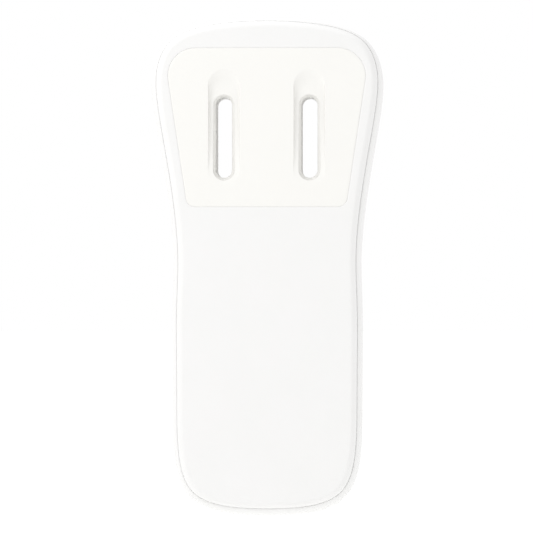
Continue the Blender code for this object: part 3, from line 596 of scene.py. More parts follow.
for side in (-1, 1):
    for step in range(4):
        x = side * 21.9
        height = WINDOW_MIDDLE - 15 + 10 * step
        cuts.append(block("lightening", (x - 0.7, 13.6, height - 3), (x + 0.7, 17.4, height + 3), 0.3))
join_or_cut(bezel, cuts, "DIFFERENCE")
smooth(bezel)
# Black plastic straight from the tool: dull, with a grain that only just catches the light.
moulded_black = moulded("moulded_black", "131314", "1A1B1C", 0.45, 0.6)
coat(bezel, moulded_black)
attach(bezel, "case")
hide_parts("lcd_frame")


def bond(name, pieces):
    """Makes several shapes one object."""
    fresh()
    for piece in pieces:
        piece.select_set(True)
    bpy.context.view_layer.objects.active = pieces[0]
    bpy.ops.object.join()
    whole = bpy.context.object
    whole.name = name
    whole.data.name = name
    return whole


panes = [
    block("rear_pane", (-19.5, 16.7, WINDOW_MIDDLE - 20.5), (19.5, 17.55, WINDOW_MIDDLE + 20.5), 0.08),
    block("front_pane", (-19.5, 17.6, WINDOW_MIDDLE - 18.0), (19.5, 18.4, WINDOW_MIDDLE + 20.5), 0.08),
    block("polariser", (-18.9, 18.42, WINDOW_MIDDLE - 17.4), (18.9, 18.6, WINDOW_MIDDLE + 19.9), 0.05),
]
cell_panes = bond("display_cell", panes)
smooth(cell_panes)
# Float glass over a twisted nematic layer: a grey green that drifts slowly across the pane.
liquid_crystal_glass, tree, shader, where = finish("liquid_crystal_glass", IOR=1.52, Roughness=0.06)
mottle(tree, shader, where, "7A8A78", "84937F", 12 * MM)
coat(cell_panes, liquid_crystal_glass)
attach(cell_panes, "case")
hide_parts("lcd_glass")

guide = bond("backlight_guide", [
    block("guide", (-19.2, 13.9, WINDOW_MIDDLE - 18.6), (19.2, 16.4, WINDOW_MIDDLE + 20.2), 0.25),
    block("reflector", (-19.2, 13.4, WINDOW_MIDDLE - 20.2), (19.2, 13.7, WINDOW_MIDDLE + 20.2), 0.08),
] + [block("side_lamp", (x - 1.6, 13.9, WINDOW_MIDDLE - 20.2), (x + 1.6, 15.4, WINDOW_MIDDLE - 18.9), 0.12)
     for x in (-12, -4, 4, 12)])
smooth(guide)
# Milky acrylic, printed at the back with a grid of white dots every 1.2 mm.
milky_acrylic, tree, shader, where = finish("milky_acrylic", IOR=1.49, Roughness=0.35)
dots = add(tree, "ShaderNodeTexVoronoi", {"Scale": 1 / (1.2 * MM), "Randomness": 0.0}, {"Vector": where})
print_edge = add(tree, "ShaderNodeMapRange", {"From Min": 0.25, "From Max": 0.32},
                 {"Value": dots.outputs["Distance"]})
dotted = add(tree, "ShaderNodeMix", {"data_type": "RGBA", "A": srgb("F4F6F7"), "B": srgb("DCE1E4")},
             {"Factor": print_edge.outputs["Result"]})
tree.links.new(result(dotted), shader.inputs["Base Color"])
coat(guide, milky_acrylic)
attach(guide, "case")
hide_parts("backlight")

ribbon = bond("display_ribbon", [
    block("film", (-11.6, 12.62, WINDOW_MIDDLE - 26.8), (11.6, 12.76, WINDOW_MIDDLE - 18), 0.04),
    block("stiffener", (-12, 12.6, WINDOW_MIDDLE - 27), (12, 12.9, WINDOW_MIDDLE - 24.2), 0.1),
])
smooth(ribbon)
# Polyimide film over copper tracks, one every 0.8 mm, which show through it as darker bands.
amber_film, tree, shader, where = finish("amber_film", IOR=1.6, Roughness=0.3)
across = add(tree, "ShaderNodeSeparateXYZ", None, {"Vector": where})
pitch = add(tree, "ShaderNodeMath", {"operation": "MULTIPLY"}, {"Value": across.outputs["X"]})
pitch.inputs[1].default_value = 1 / (0.8 * MM)
track = add(tree, "ShaderNodeMath", {"operation": "PINGPONG"}, {"Value": pitch.outputs["Value"]})
track.inputs[1].default_value = 0.5
edge = add(tree, "ShaderNodeMapRange", {"From Min": 0.22, "From Max": 0.28},
           {"Value": track.outputs["Value"]})
striped = add(tree, "ShaderNodeMix", {"data_type": "RGBA", "A": srgb("8A4A12"), "B": srgb("C98A35")},
              {"Factor": edge.outputs["Result"]})
tree.links.new(result(striped), shader.inputs["Base Color"])
coat(ribbon, amber_film)
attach(ribbon, "case")
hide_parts("lcd_flex")

# ------------------------------------------------------------------ main board
# A 1.2 mm glass fibre board, routed to shape, with green solder mask over its copper tracks.
# Bare pads and plated holes are tinned. Its tongue carries the lamp and the buzzer.
BOARD_REAR = 11.0
BOARD_FRONT = 12.2
SOLDER = 0.3
BOARD_EDGE = 0.06
board = skin("main_board_laminate", [
    (depth, rectangle(0, 52, 23.6 - inset, 42 - inset, 3.5 - inset, 4)) for depth, inset in (
        (BOARD_REAR, BOARD_EDGE), (BOARD_REAR + BOARD_EDGE, 0.0),
        (BOARD_FRONT - BOARD_EDGE, 0.0), (BOARD_FRONT, BOARD_EDGE))])
join_or_cut(board, [shape("tongue", rectangle(0, 108, 7, 15, 1.2, 4), BOARD_REAR, BOARD_FRONT)], "UNION")
cuts = [block("charge_notch", (CHARGE_ACROSS - 5, 10, 8), (CHARGE_ACROSS + 5, 14, 12.4), 0.4),
        block("jack_notch", (JACK_ACROSS - 4.4, 10, 8), (JACK_ACROSS + 4.4, 14, 15.6), 0.4)]
cuts += [shape("board_hole", disc(x, height, 1.25, 6), 10, 14) for x, height in board_screws]
vias = [(-16.5 + 5.5 * column, 40 + 7 * row) for column in range(7) for row in range(6) if (column + row) % 2]
cuts += [shape("via", disc(x, height, 0.3, 2), 10, 14) for x, height in vias]
join_or_cut(board, cuts, "DIFFERENCE")
smooth(board)
# Solder mask: glossy green, with tracks that stand out lighter and a little proud, 0.9 mm apart.
solder_mask, tree, shader, where = finish("solder_mask", IOR=1.5, Roughness=0.32)
bends = add(tree, "ShaderNodeTexNoise", {"Scale": 1 / (16 * MM), "Detail": 1.0}, {"Vector": where})
route = add(tree, "ShaderNodeMath", {"operation": "MULTIPLY"}, {"Value": bends.outputs["Fac"]})
route.inputs[1].default_value = 22.0
lane = add(tree, "ShaderNodeMath", {"operation": "PINGPONG"}, {"Value": route.outputs["Value"]})
lane.inputs[1].default_value = 0.5
copper = add(tree, "ShaderNodeMapRange", {"From Min": 0.20, "From Max": 0.26},
             {"Value": lane.outputs["Value"]})
masked = add(tree, "ShaderNodeMix", {"data_type": "RGBA", "A": srgb("0F5A36"), "B": srgb("1B7347")},
             {"Factor": copper.outputs["Result"]})
tree.links.new(result(masked), shader.inputs["Base Color"])
bump = add(tree, "ShaderNodeBump", {"Distance": 0.035 * MM}, {"Height": copper.outputs["Result"]})
tree.links.new(bump.outputs["Normal"], shader.inputs["Normal"])
coat(board, solder_mask)
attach(board, "case")
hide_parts("main_board")


def repeat(piece, moves):
    """Copies a piece, each copy with its own mesh, and joins the copies to it."""
    copies = [piece]
    for across, height in moves:
        twin = piece.copy()
        twin.data = piece.data.copy()
        twin.data.transform(Matrix.Translation((across * MM, 0, height * MM)))
        bpy.context.scene.collection.objects.link(twin)
        copies.append(twin)
    return bond(piece.name, copies)


# Hot tinned pads: soft grey metal with the shallow waves of solder that has set.
tinned_pad, tree, shader, where = finish("tinned_pad", Metallic=1.0)
mottle(tree, shader, where, "B9BBBB", "CDCFCF", 1.5 * MM)
vary_roughness(tree, shader, where, 0.22, 0.42, 0.6 * MM)
pad = block("board_pads", (-18.6, 10.95, 70), (-17.4, 10.99, 71.6))
pads = repeat(pad, [(0, 2.6 * row) for row in range(1, 5)] + [(36, 2.6 * row) for row in range(5)])
smooth(pads)
coat(pads, tinned_pad)
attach(pads, "case")

# ------------------------------------------------------------------ chips, crystal and coil
# Epoxy chips with bent tin-plated legs measure the canal's impedance and run the display; a
# welded crystal can sets their clock, and a taped ferrite coil keeps the patient side apart.
LEG_THICKNESS = 0.12
LEG_REACH = 0.9
# Moulded epoxy: near black and matt, with a grain that the light picks out.
moulded_epoxy = moulded("moulded_epoxy", "1B1C1E", "232426", 0.6, 0.72, 0.25, 0.01)


def legs_along(low, high, face, top, run, step):
    """One row of bent legs between two corners; run is the way they point, +1 or -1."""
    foot = block("leg", (low[0], face - LEG_THICKNESS, low[1]), (high[0], face, high[1]), 0.03, 1)
    shin_low = list(low)
    shin_high = list(high)
    axis = 0 if step[1] else 1
    inner = (high if run < 0 else low)[axis]
    shin_low[axis] = inner - (0.14 if run < 0 else 0.0)
    shin_high[axis] = inner + (0.0 if run < 0 else 0.14)
    shin = block("shin", (shin_low[0], top, shin_low[1]), (shin_high[0], face, shin_high[1]), 0.03, 1)
    leg = bond("leg", [foot, shin])
    return repeat(leg, [(step[0] * order, step[1] * order) for order in range(1, step[2])])


for node, slot_name, corner, size, tall, count in (
        ("microcontroller", "black_plastic", (-5, 50), (10, 10), 1.2, 10),
        ("measuring_chip", "black_plastic", (9, 34), (6, 5), 1.1, 5),
        ("charge_chip", "black_plastic", (-14, 28), (4, 4), 0.9, 4)):
    face = BOARD_REAR - 0.05
    rear = BOARD_REAR - SOLDER - tall
    low = (corner[0] + LEG_REACH, corner[1] + LEG_REACH)
    high = (corner[0] + size[0] - LEG_REACH, corner[1] + size[1] - LEG_REACH)
    middle_depth = (rear + face) / 2
    centre = ((low[0] + high[0]) / 2, (low[1] + high[1]) / 2)
    half = ((high[0] - low[0]) / 2, (high[1] - low[1]) / 2)
    body = skin(f"{node}_body", [
        (depth, rectangle(*centre, half[0] - inset, half[1] - inset, 0.12, 2)) for depth, inset in (
            (rear, 0.22), (rear + 0.05, 0.14), (middle_depth, 0.0), (face - 0.15, 0.12))])
    dimple = shape("dimple", disc(low[0] + 0.9, high[1] - 0.9, 0.35, 4), rear - 0.2, rear + 0.12)
    join_or_cut(body, [dimple], "DIFFERENCE")
    smooth(body)
    coat(body, moulded_epoxy)
    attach(body, "case")
    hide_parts(node)
    pitch_up = (high[1] - low[1]) / count
    width = pitch_up * 0.45
    first = low[1] + pitch_up * 0.28
    rows = []
    for run, start in ((-1, corner[0]), (1, high[0] - 0.05)):
        rows.append(legs_along(
            (start, first), (start + LEG_REACH + 0.05, first + width), face, middle_depth, run,
            (0, pitch_up, count)))
    if count > 5:
        first = low[0] + pitch_up * 0.28
        for run, start in ((-1, corner[1]), (1, high[1] - 0.05)):
            rows.append(legs_along(
                (first, start), (first + width, start + LEG_REACH + 0.05), face, middle_depth, run,
                (pitch_up, 0, count)))
    legs = bond(f"{node}_legs", rows)
    smooth(legs)
    coat(legs, tinned_pad)
    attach(legs, "case")

can_rings = [(9.4, 0.75), (9.45, 0.5), (9.6, 0.42), (10.3, 0.4), (10.42, 0.3), (10.46, 0.0), (10.7, 0.0)]
crystal = skin("crystal_can", [(depth, rectangle(-2, 65.6, 4.0 - inset, 1.6 - inset, (1.6 - inset) * 0.9, 5))
                               for depth, inset in can_rings])
smooth(crystal)
# Nickel plate: a slightly warm grey metal with a soft, uneven shine.
nickel_plate, tree, shader, where = finish("nickel_plate", Metallic=1.0)
mottle(tree, shader, where, "BDB9B1", "CBC8C1", 4 * MM)
vary_roughness(tree, shader, where, 0.18, 0.32, 0.8 * MM)
coat(crystal, nickel_plate)
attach(crystal, "case")
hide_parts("crystal")

core = block("transformer_core", (-20, 6.1, 13), (-11, 10.7, 21), 0.25)
join_or_cut(core, [block("core_window", (-18.4, 5, 15), (-16.4, 12, 19), 0.2),
                   block("core_window", (-14.6, 5, 15), (-12.6, 12, 19), 0.2)], "DIFFERENCE")
smooth(core)
# Sintered ferrite: dark, dull and grainy, the grain drawn 0.3 mm across so that it shows.
sintered_ferrite, tree, shader, where = finish("sintered_ferrite", IOR=1.9, Specular_IOR_Level=0.35)
mottle(tree, shader, where, "2B2B2D", "3A3A3C", 0.8 * MM)
vary_roughness(tree, shader, where, 0.6, 0.8, 0.5 * MM)
grains = add(tree, "ShaderNodeTexVoronoi", {"Scale": 1 / (0.3 * MM)}, {"Vector": where})
bump = add(tree, "ShaderNodeBump", {"Distance": 0.02 * MM}, {"Height": grains.outputs["Distance"]})
tree.links.new(bump.outputs["Normal"], shader.inputs["Normal"])
coat(core, sintered_ferrite)
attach(core, "case")
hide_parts("isolating_transformer")
winding = block("transformer_winding", (-18.2, 6.3, 14.6), (-12.8, 10.4, 19.4), 0.7, 4)
join_or_cut(winding, [block("core_leg", (-16.3, 5, 14), (-14.7, 12, 20), 0.0)], "DIFFERENCE")
smooth(winding)
coat(winding, amber_film)
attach(winding, "case")

# ------------------------------------------------------------------ capacitors
# Two electrolytic capacitors: drawn aluminium cans, pinched round their rubber bung, with a
# scored vent cross pressed into the top. Drawing leaves fine lines that run along the can.
drawn_aluminium, tree, shader, where = finish("drawn_aluminium", Metallic=1.0)
mottle(tree, shader, where, "B4B6B9", "C3C5C8", 3 * MM)
drawn = add(tree, "ShaderNodeMapping", {"Scale": (4000, 60, 4000)}, {"Vector": where})
lines = add(tree, "ShaderNodeTexNoise", {"Scale": 1.0, "Detail": 2.0}, {"Vector": drawn.outputs["Vector"]})
spread = add(tree, "ShaderNodeMapRange", {"To Min": 0.25, "To Max": 0.42}, {"Value": lines.outputs["Fac"]})
tree.links.new(spread.outputs["Result"], shader.inputs["Roughness"])
for number, x in enumerate((-6, 1)):
    turned = [(5.5, 1.9), (5.53, 2.15), (5.65, 2.35), (5.9, 2.42), (9.0, 2.42), (9.2, 2.3), (9.35, 2.15),
              (9.5, 2.12), (9.65, 2.15), (9.8, 2.3), (9.95, 2.42), (10.3, 2.42), (10.3, 2.5), (10.7, 2.5)]
    can = skin(f"capacitor_{number + 1}_can", [(depth, disc(x, 18, radius, 8)) for depth, radius in turned])
    cross = [block("vent", (x - 1.5, 5.0, 17.94), (x + 1.5, 5.56, 18.06)),
             block("vent", (x - 0.06, 5.0, 16.5), (x + 0.06, 5.56, 19.5))]
    join_or_cut(can, cross, "DIFFERENCE")
    smooth(can)
    coat(can, drawn_aluminium)
    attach(can, "case")
    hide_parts(f"capacitor_{number + 1}")

# ------------------------------------------------------------------ status lamp and buzzer
# A green chip lamp under the light pipe, and a piezo buzzer whose black can has a sound port
# in its stepped lid, right behind the five sound holes of the case.
lamp_chip = bond("status_lamp_chip", [
    block("chip_base", (-0.8, 12.5, LAMP_HEIGHT - 0.6), (0.8, 12.8, LAMP_HEIGHT + 0.6), 0.04),
    block("chip_lens", (-0.5, 12.8, LAMP_HEIGHT - 0.55), (0.5, 13.3, LAMP_HEIGHT + 0.55), 0.12),
])
smooth(lamp_chip)
# Water clear epoxy: glossy, tinted by the green chip that it covers.
water_clear_epoxy, tree, shader, where = finish("water_clear_epoxy", IOR=1.5, Roughness=0.12)
mottle(tree, shader, where, "C9D8BE", "DBE6D2", 0.4 * MM)
coat(lamp_chip, water_clear_epoxy)
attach(lamp_chip, "case")
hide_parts("status_led")

turned = [(12.5, 5.6), (12.55, 5.9), (12.7, 6.0), (15.9, 6.0), (16.0, 5.9), (16.05, 5.7), (16.15, 5.7),
          (16.2, 5.9), (16.3, 6.0), (17.4, 6.0), (17.7, 5.9), (17.9, 5.6), (18.0, 5.2), (18.0, 3.2),
          (17.9, 3.0), (17.9, 2.2), (18.0, 2.0), (18.0, 1.4)]
sounder = skin("buzzer_can", [(depth, disc(0, BUZZER_HEIGHT, radius, 12)) for depth, radius in turned])
port = flared("port", lambda grow: disc(0, BUZZER_HEIGHT, 0.9 + grow, 6), 16.4, 18.0, 0.2)
join_or_cut(sounder, [port], "DIFFERENCE")
smooth(sounder)
coat(sounder, moulded_black)
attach(sounder, "case")
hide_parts("buzzer")

# ------------------------------------------------------------------ key switches
# Three tact switches: a black body, a pressed nickel plate held by four melted pins, and a
# round plunger that the key's stem presses.
PIN_REACH = 2.3
for order, use in ((-1, "power"), (0, "volume"), (1, "set")):
    x = order * KEY_PITCH
    pin_places = [(x + i * PIN_REACH, KEY_HEIGHT + j * PIN_REACH) for i in (-1, 1) for j in (-1, 1)]
    body = skin(f"switch_{use}_body", [
        (depth, rectangle(x, KEY_HEIGHT, 3.0 - inset, 3.0 - inset, 0.35, 3)) for depth, inset in (
            (12.5, 0.12), (12.6, 0.0), (15.1, 0.0), (15.2, 0.08))])
    plunger = skin("plunger", [(depth, disc(x, KEY_HEIGHT, radius, 8)) for depth, radius in (
        (15.0, 1.7), (16.35, 1.7), (16.5, 1.63), (16.58, 1.5), (16.6, 1.2))])
    pins = [skin("melted_pin", [(depth, disc(*place, radius, 4)) for depth, radius in (
        (15.0, 0.42), (15.5, 0.42), (15.58, 0.3))]) for place in pin_places]
    join_or_cut(body, [plunger] + pins, "UNION")
    smooth(body)
    coat(body, moulded_black)
    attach(body, "case")
    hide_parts(f"switch_{use}")
    plate = shape(f"switch_{use}_plate", rectangle(x, KEY_HEIGHT, 2.9, 2.9, 0.3, 3), 15.22, 15.4)
    cuts = [shape("plunger_hole", disc(x, KEY_HEIGHT, 1.85, 6), 15, 16)]
    cuts += [shape("pin_hole", disc(*place, 0.46, 4), 15, 16) for place in pin_places]
    join_or_cut(plate, cuts, "DIFFERENCE")
    smooth(plate)
    coat(plate, nickel_plate)
    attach(plate, "case")

# ------------------------------------------------------------------ board screws
# Steel thread-forming screws: rolled thread, domed head, six-lobed recess. Two hold the board.
# They are zinc plated, which gives them a cool, slightly uneven satin.
SCREW_SIDES = 24
zinc_plated_steel, tree, shader, where = finish("zinc_plated_steel", Metallic=1.0)
mottle(tree, shader, where, "B2B3B2", "C2C3C3", 1.5 * MM)
vary_roughness(tree, shader, where, 0.24, 0.38, 0.5 * MM)


def threaded_screw(node, place, head, head_radius, tip, radius, pitch):
    """A screw from the rear: its head between two depths, then a helical thread to its tip."""
    def polar(turns, sizes):
        return [(place[0] + size * math.cos(turn), place[1] + size * math.sin(turn))
                for turn, size in zip(turns, sizes)]

    turns = np.linspace(0, 2 * math.pi, SCREW_SIDES, endpoint=False)
    domed = [(0.0, 0.25), (0.02, 0.55), (0.12, 0.8), (0.35, 0.95), (0.6, 1.0)]
    turned = [(head[0] + drop, head_radius * share) for drop, share in domed]
    turned += [(head[1] - 0.08, head_radius), (head[1], head_radius * 0.97), (head[1], radius * 0.8)]
    rings = [(depth, polar(turns, [size] * SCREW_SIDES)) for depth, size in turned]
    for depth in np.arange(head[1] + 0.1, tip - 0.3, pitch / 6):
        taper = 0.55 + 0.45 * min(1.0, (tip - depth) / 1.2)
        sizes = []
        for turn in turns:
            ridge = abs((turn / (2 * math.pi) - (depth - head[1]) / pitch) % 1.0 - 0.5) * 2
            sizes.append(radius * (0.72 + 0.28 * max(0.0, 1 - ridge * 1.6)) * taper)
        rings.append((depth, polar(turns, sizes)))
    rings.append((tip, polar(turns, [0.25] * SCREW_SIDES)))
    made = skin(f"{node}_steel", rings)
    turns = np.linspace(0, 2 * math.pi, 36, endpoint=False)
    lobes = polar(turns, [head_radius * (0.40 + 0.07 * math.cos(6 * turn)) for turn in turns])
    join_or_cut(made, [shape("recess", lobes, head[0] - 0.5, head[0] + 0.65)], "DIFFERENCE")
    smooth(made, 40)
    coat(made, zinc_plated_steel)
    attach(made, "case")
    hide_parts(node)


for number, place in enumerate(board_screws):
    threaded_screw(f"board_screw_{number + 1}", place, (9.6, 10.7), 1.9, 16.0, 1.0, 0.75)

# ------------------------------------------------------------------ battery
# A flat lithium pouch cell in crinkled aluminium laminate, its sealed ledge folded under amber
# tape, on a foam pad, with two short leads to a white crimp plug on the board.
swelling = [(3.1, 1.6), (3.16, 0.9), (3.4, 0.35), (3.9, 0.06), (4.6, 0.0),
            (7.3, 0.0), (8.0, 0.06), (8.5, 0.35), (8.74, 0.9), (8.8, 1.6)]
pouch = skin("battery_pouch", [
    (depth, rectangle(0, 53, 17.5 - inset, 27.0 - inset, 1.6 - inset * 0.5, 5)) for depth, inset in swelling])
join_or_cut(pouch, [block("sealed_ledge", (-16.6, 5.2, 79), (16.6, 6.4, 82), 0.25)], "UNION")
smooth(pouch)
# Bright foil under a clear film, with shallow crinkles about 3 mm apart.
aluminium_laminate, tree, shader, where = finish("aluminium_laminate", Metallic=0.85)
mottle(tree, shader, where, "BDBEC1", "CDCED1", 8 * MM)
vary_roughness(tree, shader, where, 0.28, 0.45, 2 * MM)
crinkle = add(tree, "ShaderNodeTexNoise", {"Scale": 1 / (3 * MM), "Detail": 3.0, "Distortion": 0.6},
              {"Vector": where})
bump = add(tree, "ShaderNodeBump", {"Distance": 0.05 * MM}, {"Height": crinkle.outputs["Fac"]})
tree.links.new(bump.outputs["Normal"], shader.inputs["Normal"])
coat(pouch, aluminium_laminate)
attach(pouch, "case")
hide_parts("battery_cell")
tape = block("battery_tape", (-16.2, 5.05, 79.3), (16.2, 6.55, 81.6), 0.15)
smooth(tape)
coat(tape, amber_film)
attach(tape, "case")

cushion = block("battery_cushion", (-14, 2.1, 30), (14, 2.8, 78), 0.15, 3)
smooth(cushion)
# Open-cell polyurethane foam: dark and fully matt, with pores about 0.5 mm across, and painted shade that
# darkens each pore towards its hollow middle.
open_cell_foam, tree, shader, where = finish("open_cell_foam", Roughness=0.95, Specular_IOR_Level=0.2)
pores = add(tree, "ShaderNodeTexVoronoi", {"Scale": 1 / (0.5 * MM)}, {"Vector": where})
# Painted shade: the darker tone falls where the bump below sinks into each pore.
pore_painted_shade = add(tree, "ShaderNodeMix", {"data_type": "RGBA", "A": srgb("1E1E20"), "B": srgb("46464A")},
             {"Factor": pores.outputs["Distance"]})
tree.links.new(result(pore_painted_shade), shader.inputs["Base Color"])
bump = add(tree, "ShaderNodeBump", {"Distance": 0.15 * MM}, {"Height": pores.outputs["Distance"]})
tree.links.new(bump.outputs["Normal"], shader.inputs["Normal"])
coat(cushion, open_cell_foam)
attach(cushion, "case")
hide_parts("battery_foam")

crimp_plug = block("battery_crimp_plug", (-3.5, 6.9, 86.4), (3.5, 10.7, 91), 0.2)
cuts = [block("rib_gap", (x - 0.35, 6.5, 88.2), (x + 0.35, 7.3, 92), 0.1) for x in (-2.2, 0, 2.2)]
cuts += [block("wire_hole", (x - 0.7, 7.5, 85), (x + 0.7, 8.9, 87.4), 0.2) for x in (-1.4, 1.4)]
join_or_cut(crimp_plug, cuts, "DIFFERENCE")
smooth(crimp_plug)
# Undyed nylon: creamy white, with a waxy, broad shine.
moulded_nylon = moulded("moulded_nylon", "E4E2D8", "EAE8DF", 0.5, 0.6)
coat(crimp_plug, moulded_nylon)
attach(crimp_plug, "case")
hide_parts("battery_plug")

# The leads are stranded wire in PVC, which is smooth and softly glossy.
for number, (x, low, high, slot_name) in enumerate((
        (-1.4, "8E1512", "9C1C18", "red_wire"), (1.4, "141414", "1C1C1D", "black_wire"))):
    fresh()
    bpy.ops.curve.primitive_bezier_curve_add()
    lead = bpy.context.object
    lead.name = f"battery_lead_{number + 1}_wire"
    lead.data.name = lead.name
    lead.data.dimensions = "3D"
    lead.data.bevel_depth = 0.5 * MM
    lead.data.bevel_resolution = 3
    lead.data.resolution_u = 8
    lead.data.use_fill_caps = True
    bends = lead.data.splines[0].bezier_points
    bends.add(2)
    for bend, (depth, height) in zip(bends, ((6.0, 82.4), (6.2, 83.4), (7.6, 84.6), (8.2, 86.0))):
        bend.handle_left_type = "AUTO"
        bend.handle_right_type = "AUTO"
        bend.co = (x * MM, depth * MM, BASE + height * MM)
    bpy.ops.object.convert(target="MESH")
    lead = bpy.context.object
    bpy.ops.object.mode_set(mode="EDIT")
    bpy.ops.mesh.select_all(action="SELECT")
    bpy.ops.mesh.remove_doubles(threshold=0.001 * MM)
    bpy.ops.mesh.normals_make_consistent(inside=False)
    bpy.ops.object.mode_set(mode="OBJECT")
    smooth(lead, 60)
    coat(lead, moulded(f"pvc_{slot_name}", low, high, 0.38, 0.5, 0.3, 0.004))
    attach(lead, "case")
    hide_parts(f"battery_lead_{number + 1}")

# ------------------------------------------------------------------ charging socket
# A drawn and nickel-plated steel shell, open at the lower end of the case, round a black
# tongue with rows of contacts.
shell = block(
    "charge_socket_shell", (CHARGE_ACROSS - 4.5, 10.4, 1.5), (CHARGE_ACROSS + 4.5, 13.6, 11.6), 1.2, 5)
cuts = [block("hollow", (CHARGE_ACROSS - 4.15, 10.75, 0.5), (CHARGE_ACROSS + 4.15, 13.25, 9.8), 0.95, 5),
        block("mouth_trim", (-20, 8, 0), (10, 16, 3.0))]
for side in (-1, 1):
    x = CHARGE_ACROSS + side * 2.4
    cuts.append(block("latch_window", (x - 0.6, 9.5, 5.4), (x + 0.6, 14.5, 7.0), 0.1))
join_or_cut(shell, cuts, "DIFFERENCE")
smooth(shell)
coat(shell, nickel_plate)
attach(shell, "case")
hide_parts("charge_socket")
tongue = block(
    "charge_socket_tongue", (CHARGE_ACROSS - 3.3, 11.65, 4.0), (CHARGE_ACROSS + 3.3, 12.35, 9.85), 0.15)
smooth(tongue)
coat(tongue, moulded_black)
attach(tongue, "case")
contact = block(
    "charge_socket_contacts", (CHARGE_ACROSS - 2.87, 11.6, 4.5), (CHARGE_ACROSS - 2.63, 12.4, 8.4))
contacts = repeat(contact, [(0.5 * order, 0) for order in range(1, 12)])
smooth(contacts)
coat(contacts, nickel_plate)
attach(contacts, "case")

# ------------------------------------------------------------------ lead socket and its nut
# The 3.5 mm jack for the file and lip lead: a black moulded body with a collar through the
# case, and a slotted ring nut of turned and nickel-plated brass that draws it tight.
jack = block("lead_socket_body", (JACK_ACROSS - 4, 8.2, 5.3), (JACK_ACROSS + 4, 15.8, 15.3), 0.3)
collar = rod("collar", 3.0, (JACK_ACROSS, SOCKET_DEPTH, 1.7), (JACK_ACROSS, SOCKET_DEPTH, 6.0), 40, 0.2)
join_or_cut(jack, [collar], "UNION")
cuts = [rod("bore", 1.8, (JACK_ACROSS, SOCKET_DEPTH, 0.0), (JACK_ACROSS, SOCKET_DEPTH, 14.0), 40)]
cuts.append(rod("bore_mouth", 2.2, (JACK_ACROSS, SOCKET_DEPTH, 0.0), (JACK_ACROSS, SOCKET_DEPTH, 1.9), 40))
for side in (-1, 1):
    x = JACK_ACROSS + side * 3.9
    cuts.append(block("spring_slot", (x - 0.4, 10.6, 8), (x + 0.4, 13.4, 13.5), 0.15))
join_or_cut(jack, cuts, "DIFFERENCE")
smooth(jack)
coat(jack, moulded_black)
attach(jack, "case")
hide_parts("lead_socket")

nut = rod(
    "lead_socket_ring_nut", 4.2, (JACK_ACROSS, SOCKET_DEPTH, 1.6), (JACK_ACROSS, SOCKET_DEPTH, 2.5), 48, 0.18)
cuts = [rod("nut_bore", 3.25, (JACK_ACROSS, SOCKET_DEPTH, 0), (JACK_ACROSS, SOCKET_DEPTH, 4), 40)]
for side in (-1, 1):
    x = JACK_ACROSS + side * 3.8
    cuts.append(block("spanner_slot", (x - 0.6, 11.5, 0), (x + 0.6, 12.5, 2.1)))
join_or_cut(nut, cuts, "DIFFERENCE")
smooth(nut)
coat(nut, nickel_plate)
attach(nut, "case")
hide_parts("lead_socket_nut")

# ------------------------------------------------------------------ charging port cover
# A soft grey silicone flap, moulded to the curve of the case, with a nub that fills the socket
# and a thin neck at its left end, where it bends open.
flap = block("port_cover_flap", (CHARGE_ACROSS - 6.3, 9.0, -2.8), (CHARGE_ACROSS + 6.3, 15.0, 2.0))
join_or_cut(flap, [shape("case_curve", case_outline(0.1), 6, 18)], "INTERSECT")
bevel = flap.modifiers.new("edge", "BEVEL")
bevel.width = 0.3 * MM
bevel.segments = 3
bevel.limit_method = "ANGLE"
bevel.angle_limit = math.radians(40)
fresh()
bpy.context.view_layer.objects.active = flap
flap.select_set(True)
bpy.ops.object.modifier_apply(modifier=bevel.name)
nub = block("nub", (CHARGE_ACROSS - 3.4, 11.15, 1.5), (CHARGE_ACROSS + 3.4, 12.85, 3.9), 0.3)
join_or_cut(flap, [nub], "UNION")
grooves = [rod("neck_groove", 0.35, (CHARGE_ACROSS - 4.9, 8, 0.75), (CHARGE_ACROSS - 4.9, 16, 0.75), 20)]
grooves.append(block(
    "nail_groove", (CHARGE_ACROSS + 5.0, 10.4, -0.6), (CHARGE_ACROSS + 5.5, 13.6, 0.62), 0.1))
join_or_cut(flap, grooves, "DIFFERENCE")
smooth(flap)
# Moulded silicone: a soft sheen with a fine dusting that varies over a few millimetres.
silicone_grey, tree, shader, where = finish("silicone_grey", IOR=1.41, Sheen_Weight=0.15)
mottle(tree, shader, where, "B9BABA", "C3C4C3", 3 * MM)
vary_roughness(tree, shader, where, 0.62, 0.78, 1.5 * MM)
coat(flap, silicone_grey)
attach(flap, "charge_cover")
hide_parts("port_cover")

# ------------------------------------------------------------------ case seal
# A moulded cord of soft silicone that lies on the housing's flange, under the cover's rim.
# It is a closed loop, pressed lightly between the two shells.
seal = skin("case_seal_cord", [(depth, case_outline(inset, REAR_LIFT)) for depth, inset in (
    (3.3, 3.0), (3.36, 2.88), (3.5, 2.85), (3.7, 2.85), (3.84, 2.88), (3.9, 3.0), (3.9, 3.6), (3.84, 3.72),
    (3.7, 3.75), (3.5, 3.75), (3.36, 3.72), (3.3, 3.6), (3.3, 3.0))], closed=False)
bpy.ops.object.mode_set(mode="EDIT")
bpy.ops.mesh.select_all(action="SELECT")
bpy.ops.mesh.remove_doubles(threshold=0.001 * MM)
bpy.ops.mesh.normals_make_consistent(inside=False)
bpy.ops.object.mode_set(mode="OBJECT")
smooth(seal)
# The same silicone in a paler shade, without the dusting.
silicone_pale, tree, shader, where = finish("silicone_pale", IOR=1.41)
mottle(tree, shader, where, "CFD0CE", "D8D9D7", 3 * MM)
vary_roughness(tree, shader, where, 0.62, 0.75, 1 * MM)
coat(seal, silicone_pale)
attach(seal, "case")
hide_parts("case_seal")

# ------------------------------------------------------------------ rear cover
# The inset rear shell, in the same white ABS, with a soft edge round its flat face, a bed for
# the hanger panel, four wells for the case screws and two hooks at its lower end.
SEAM = 0.02
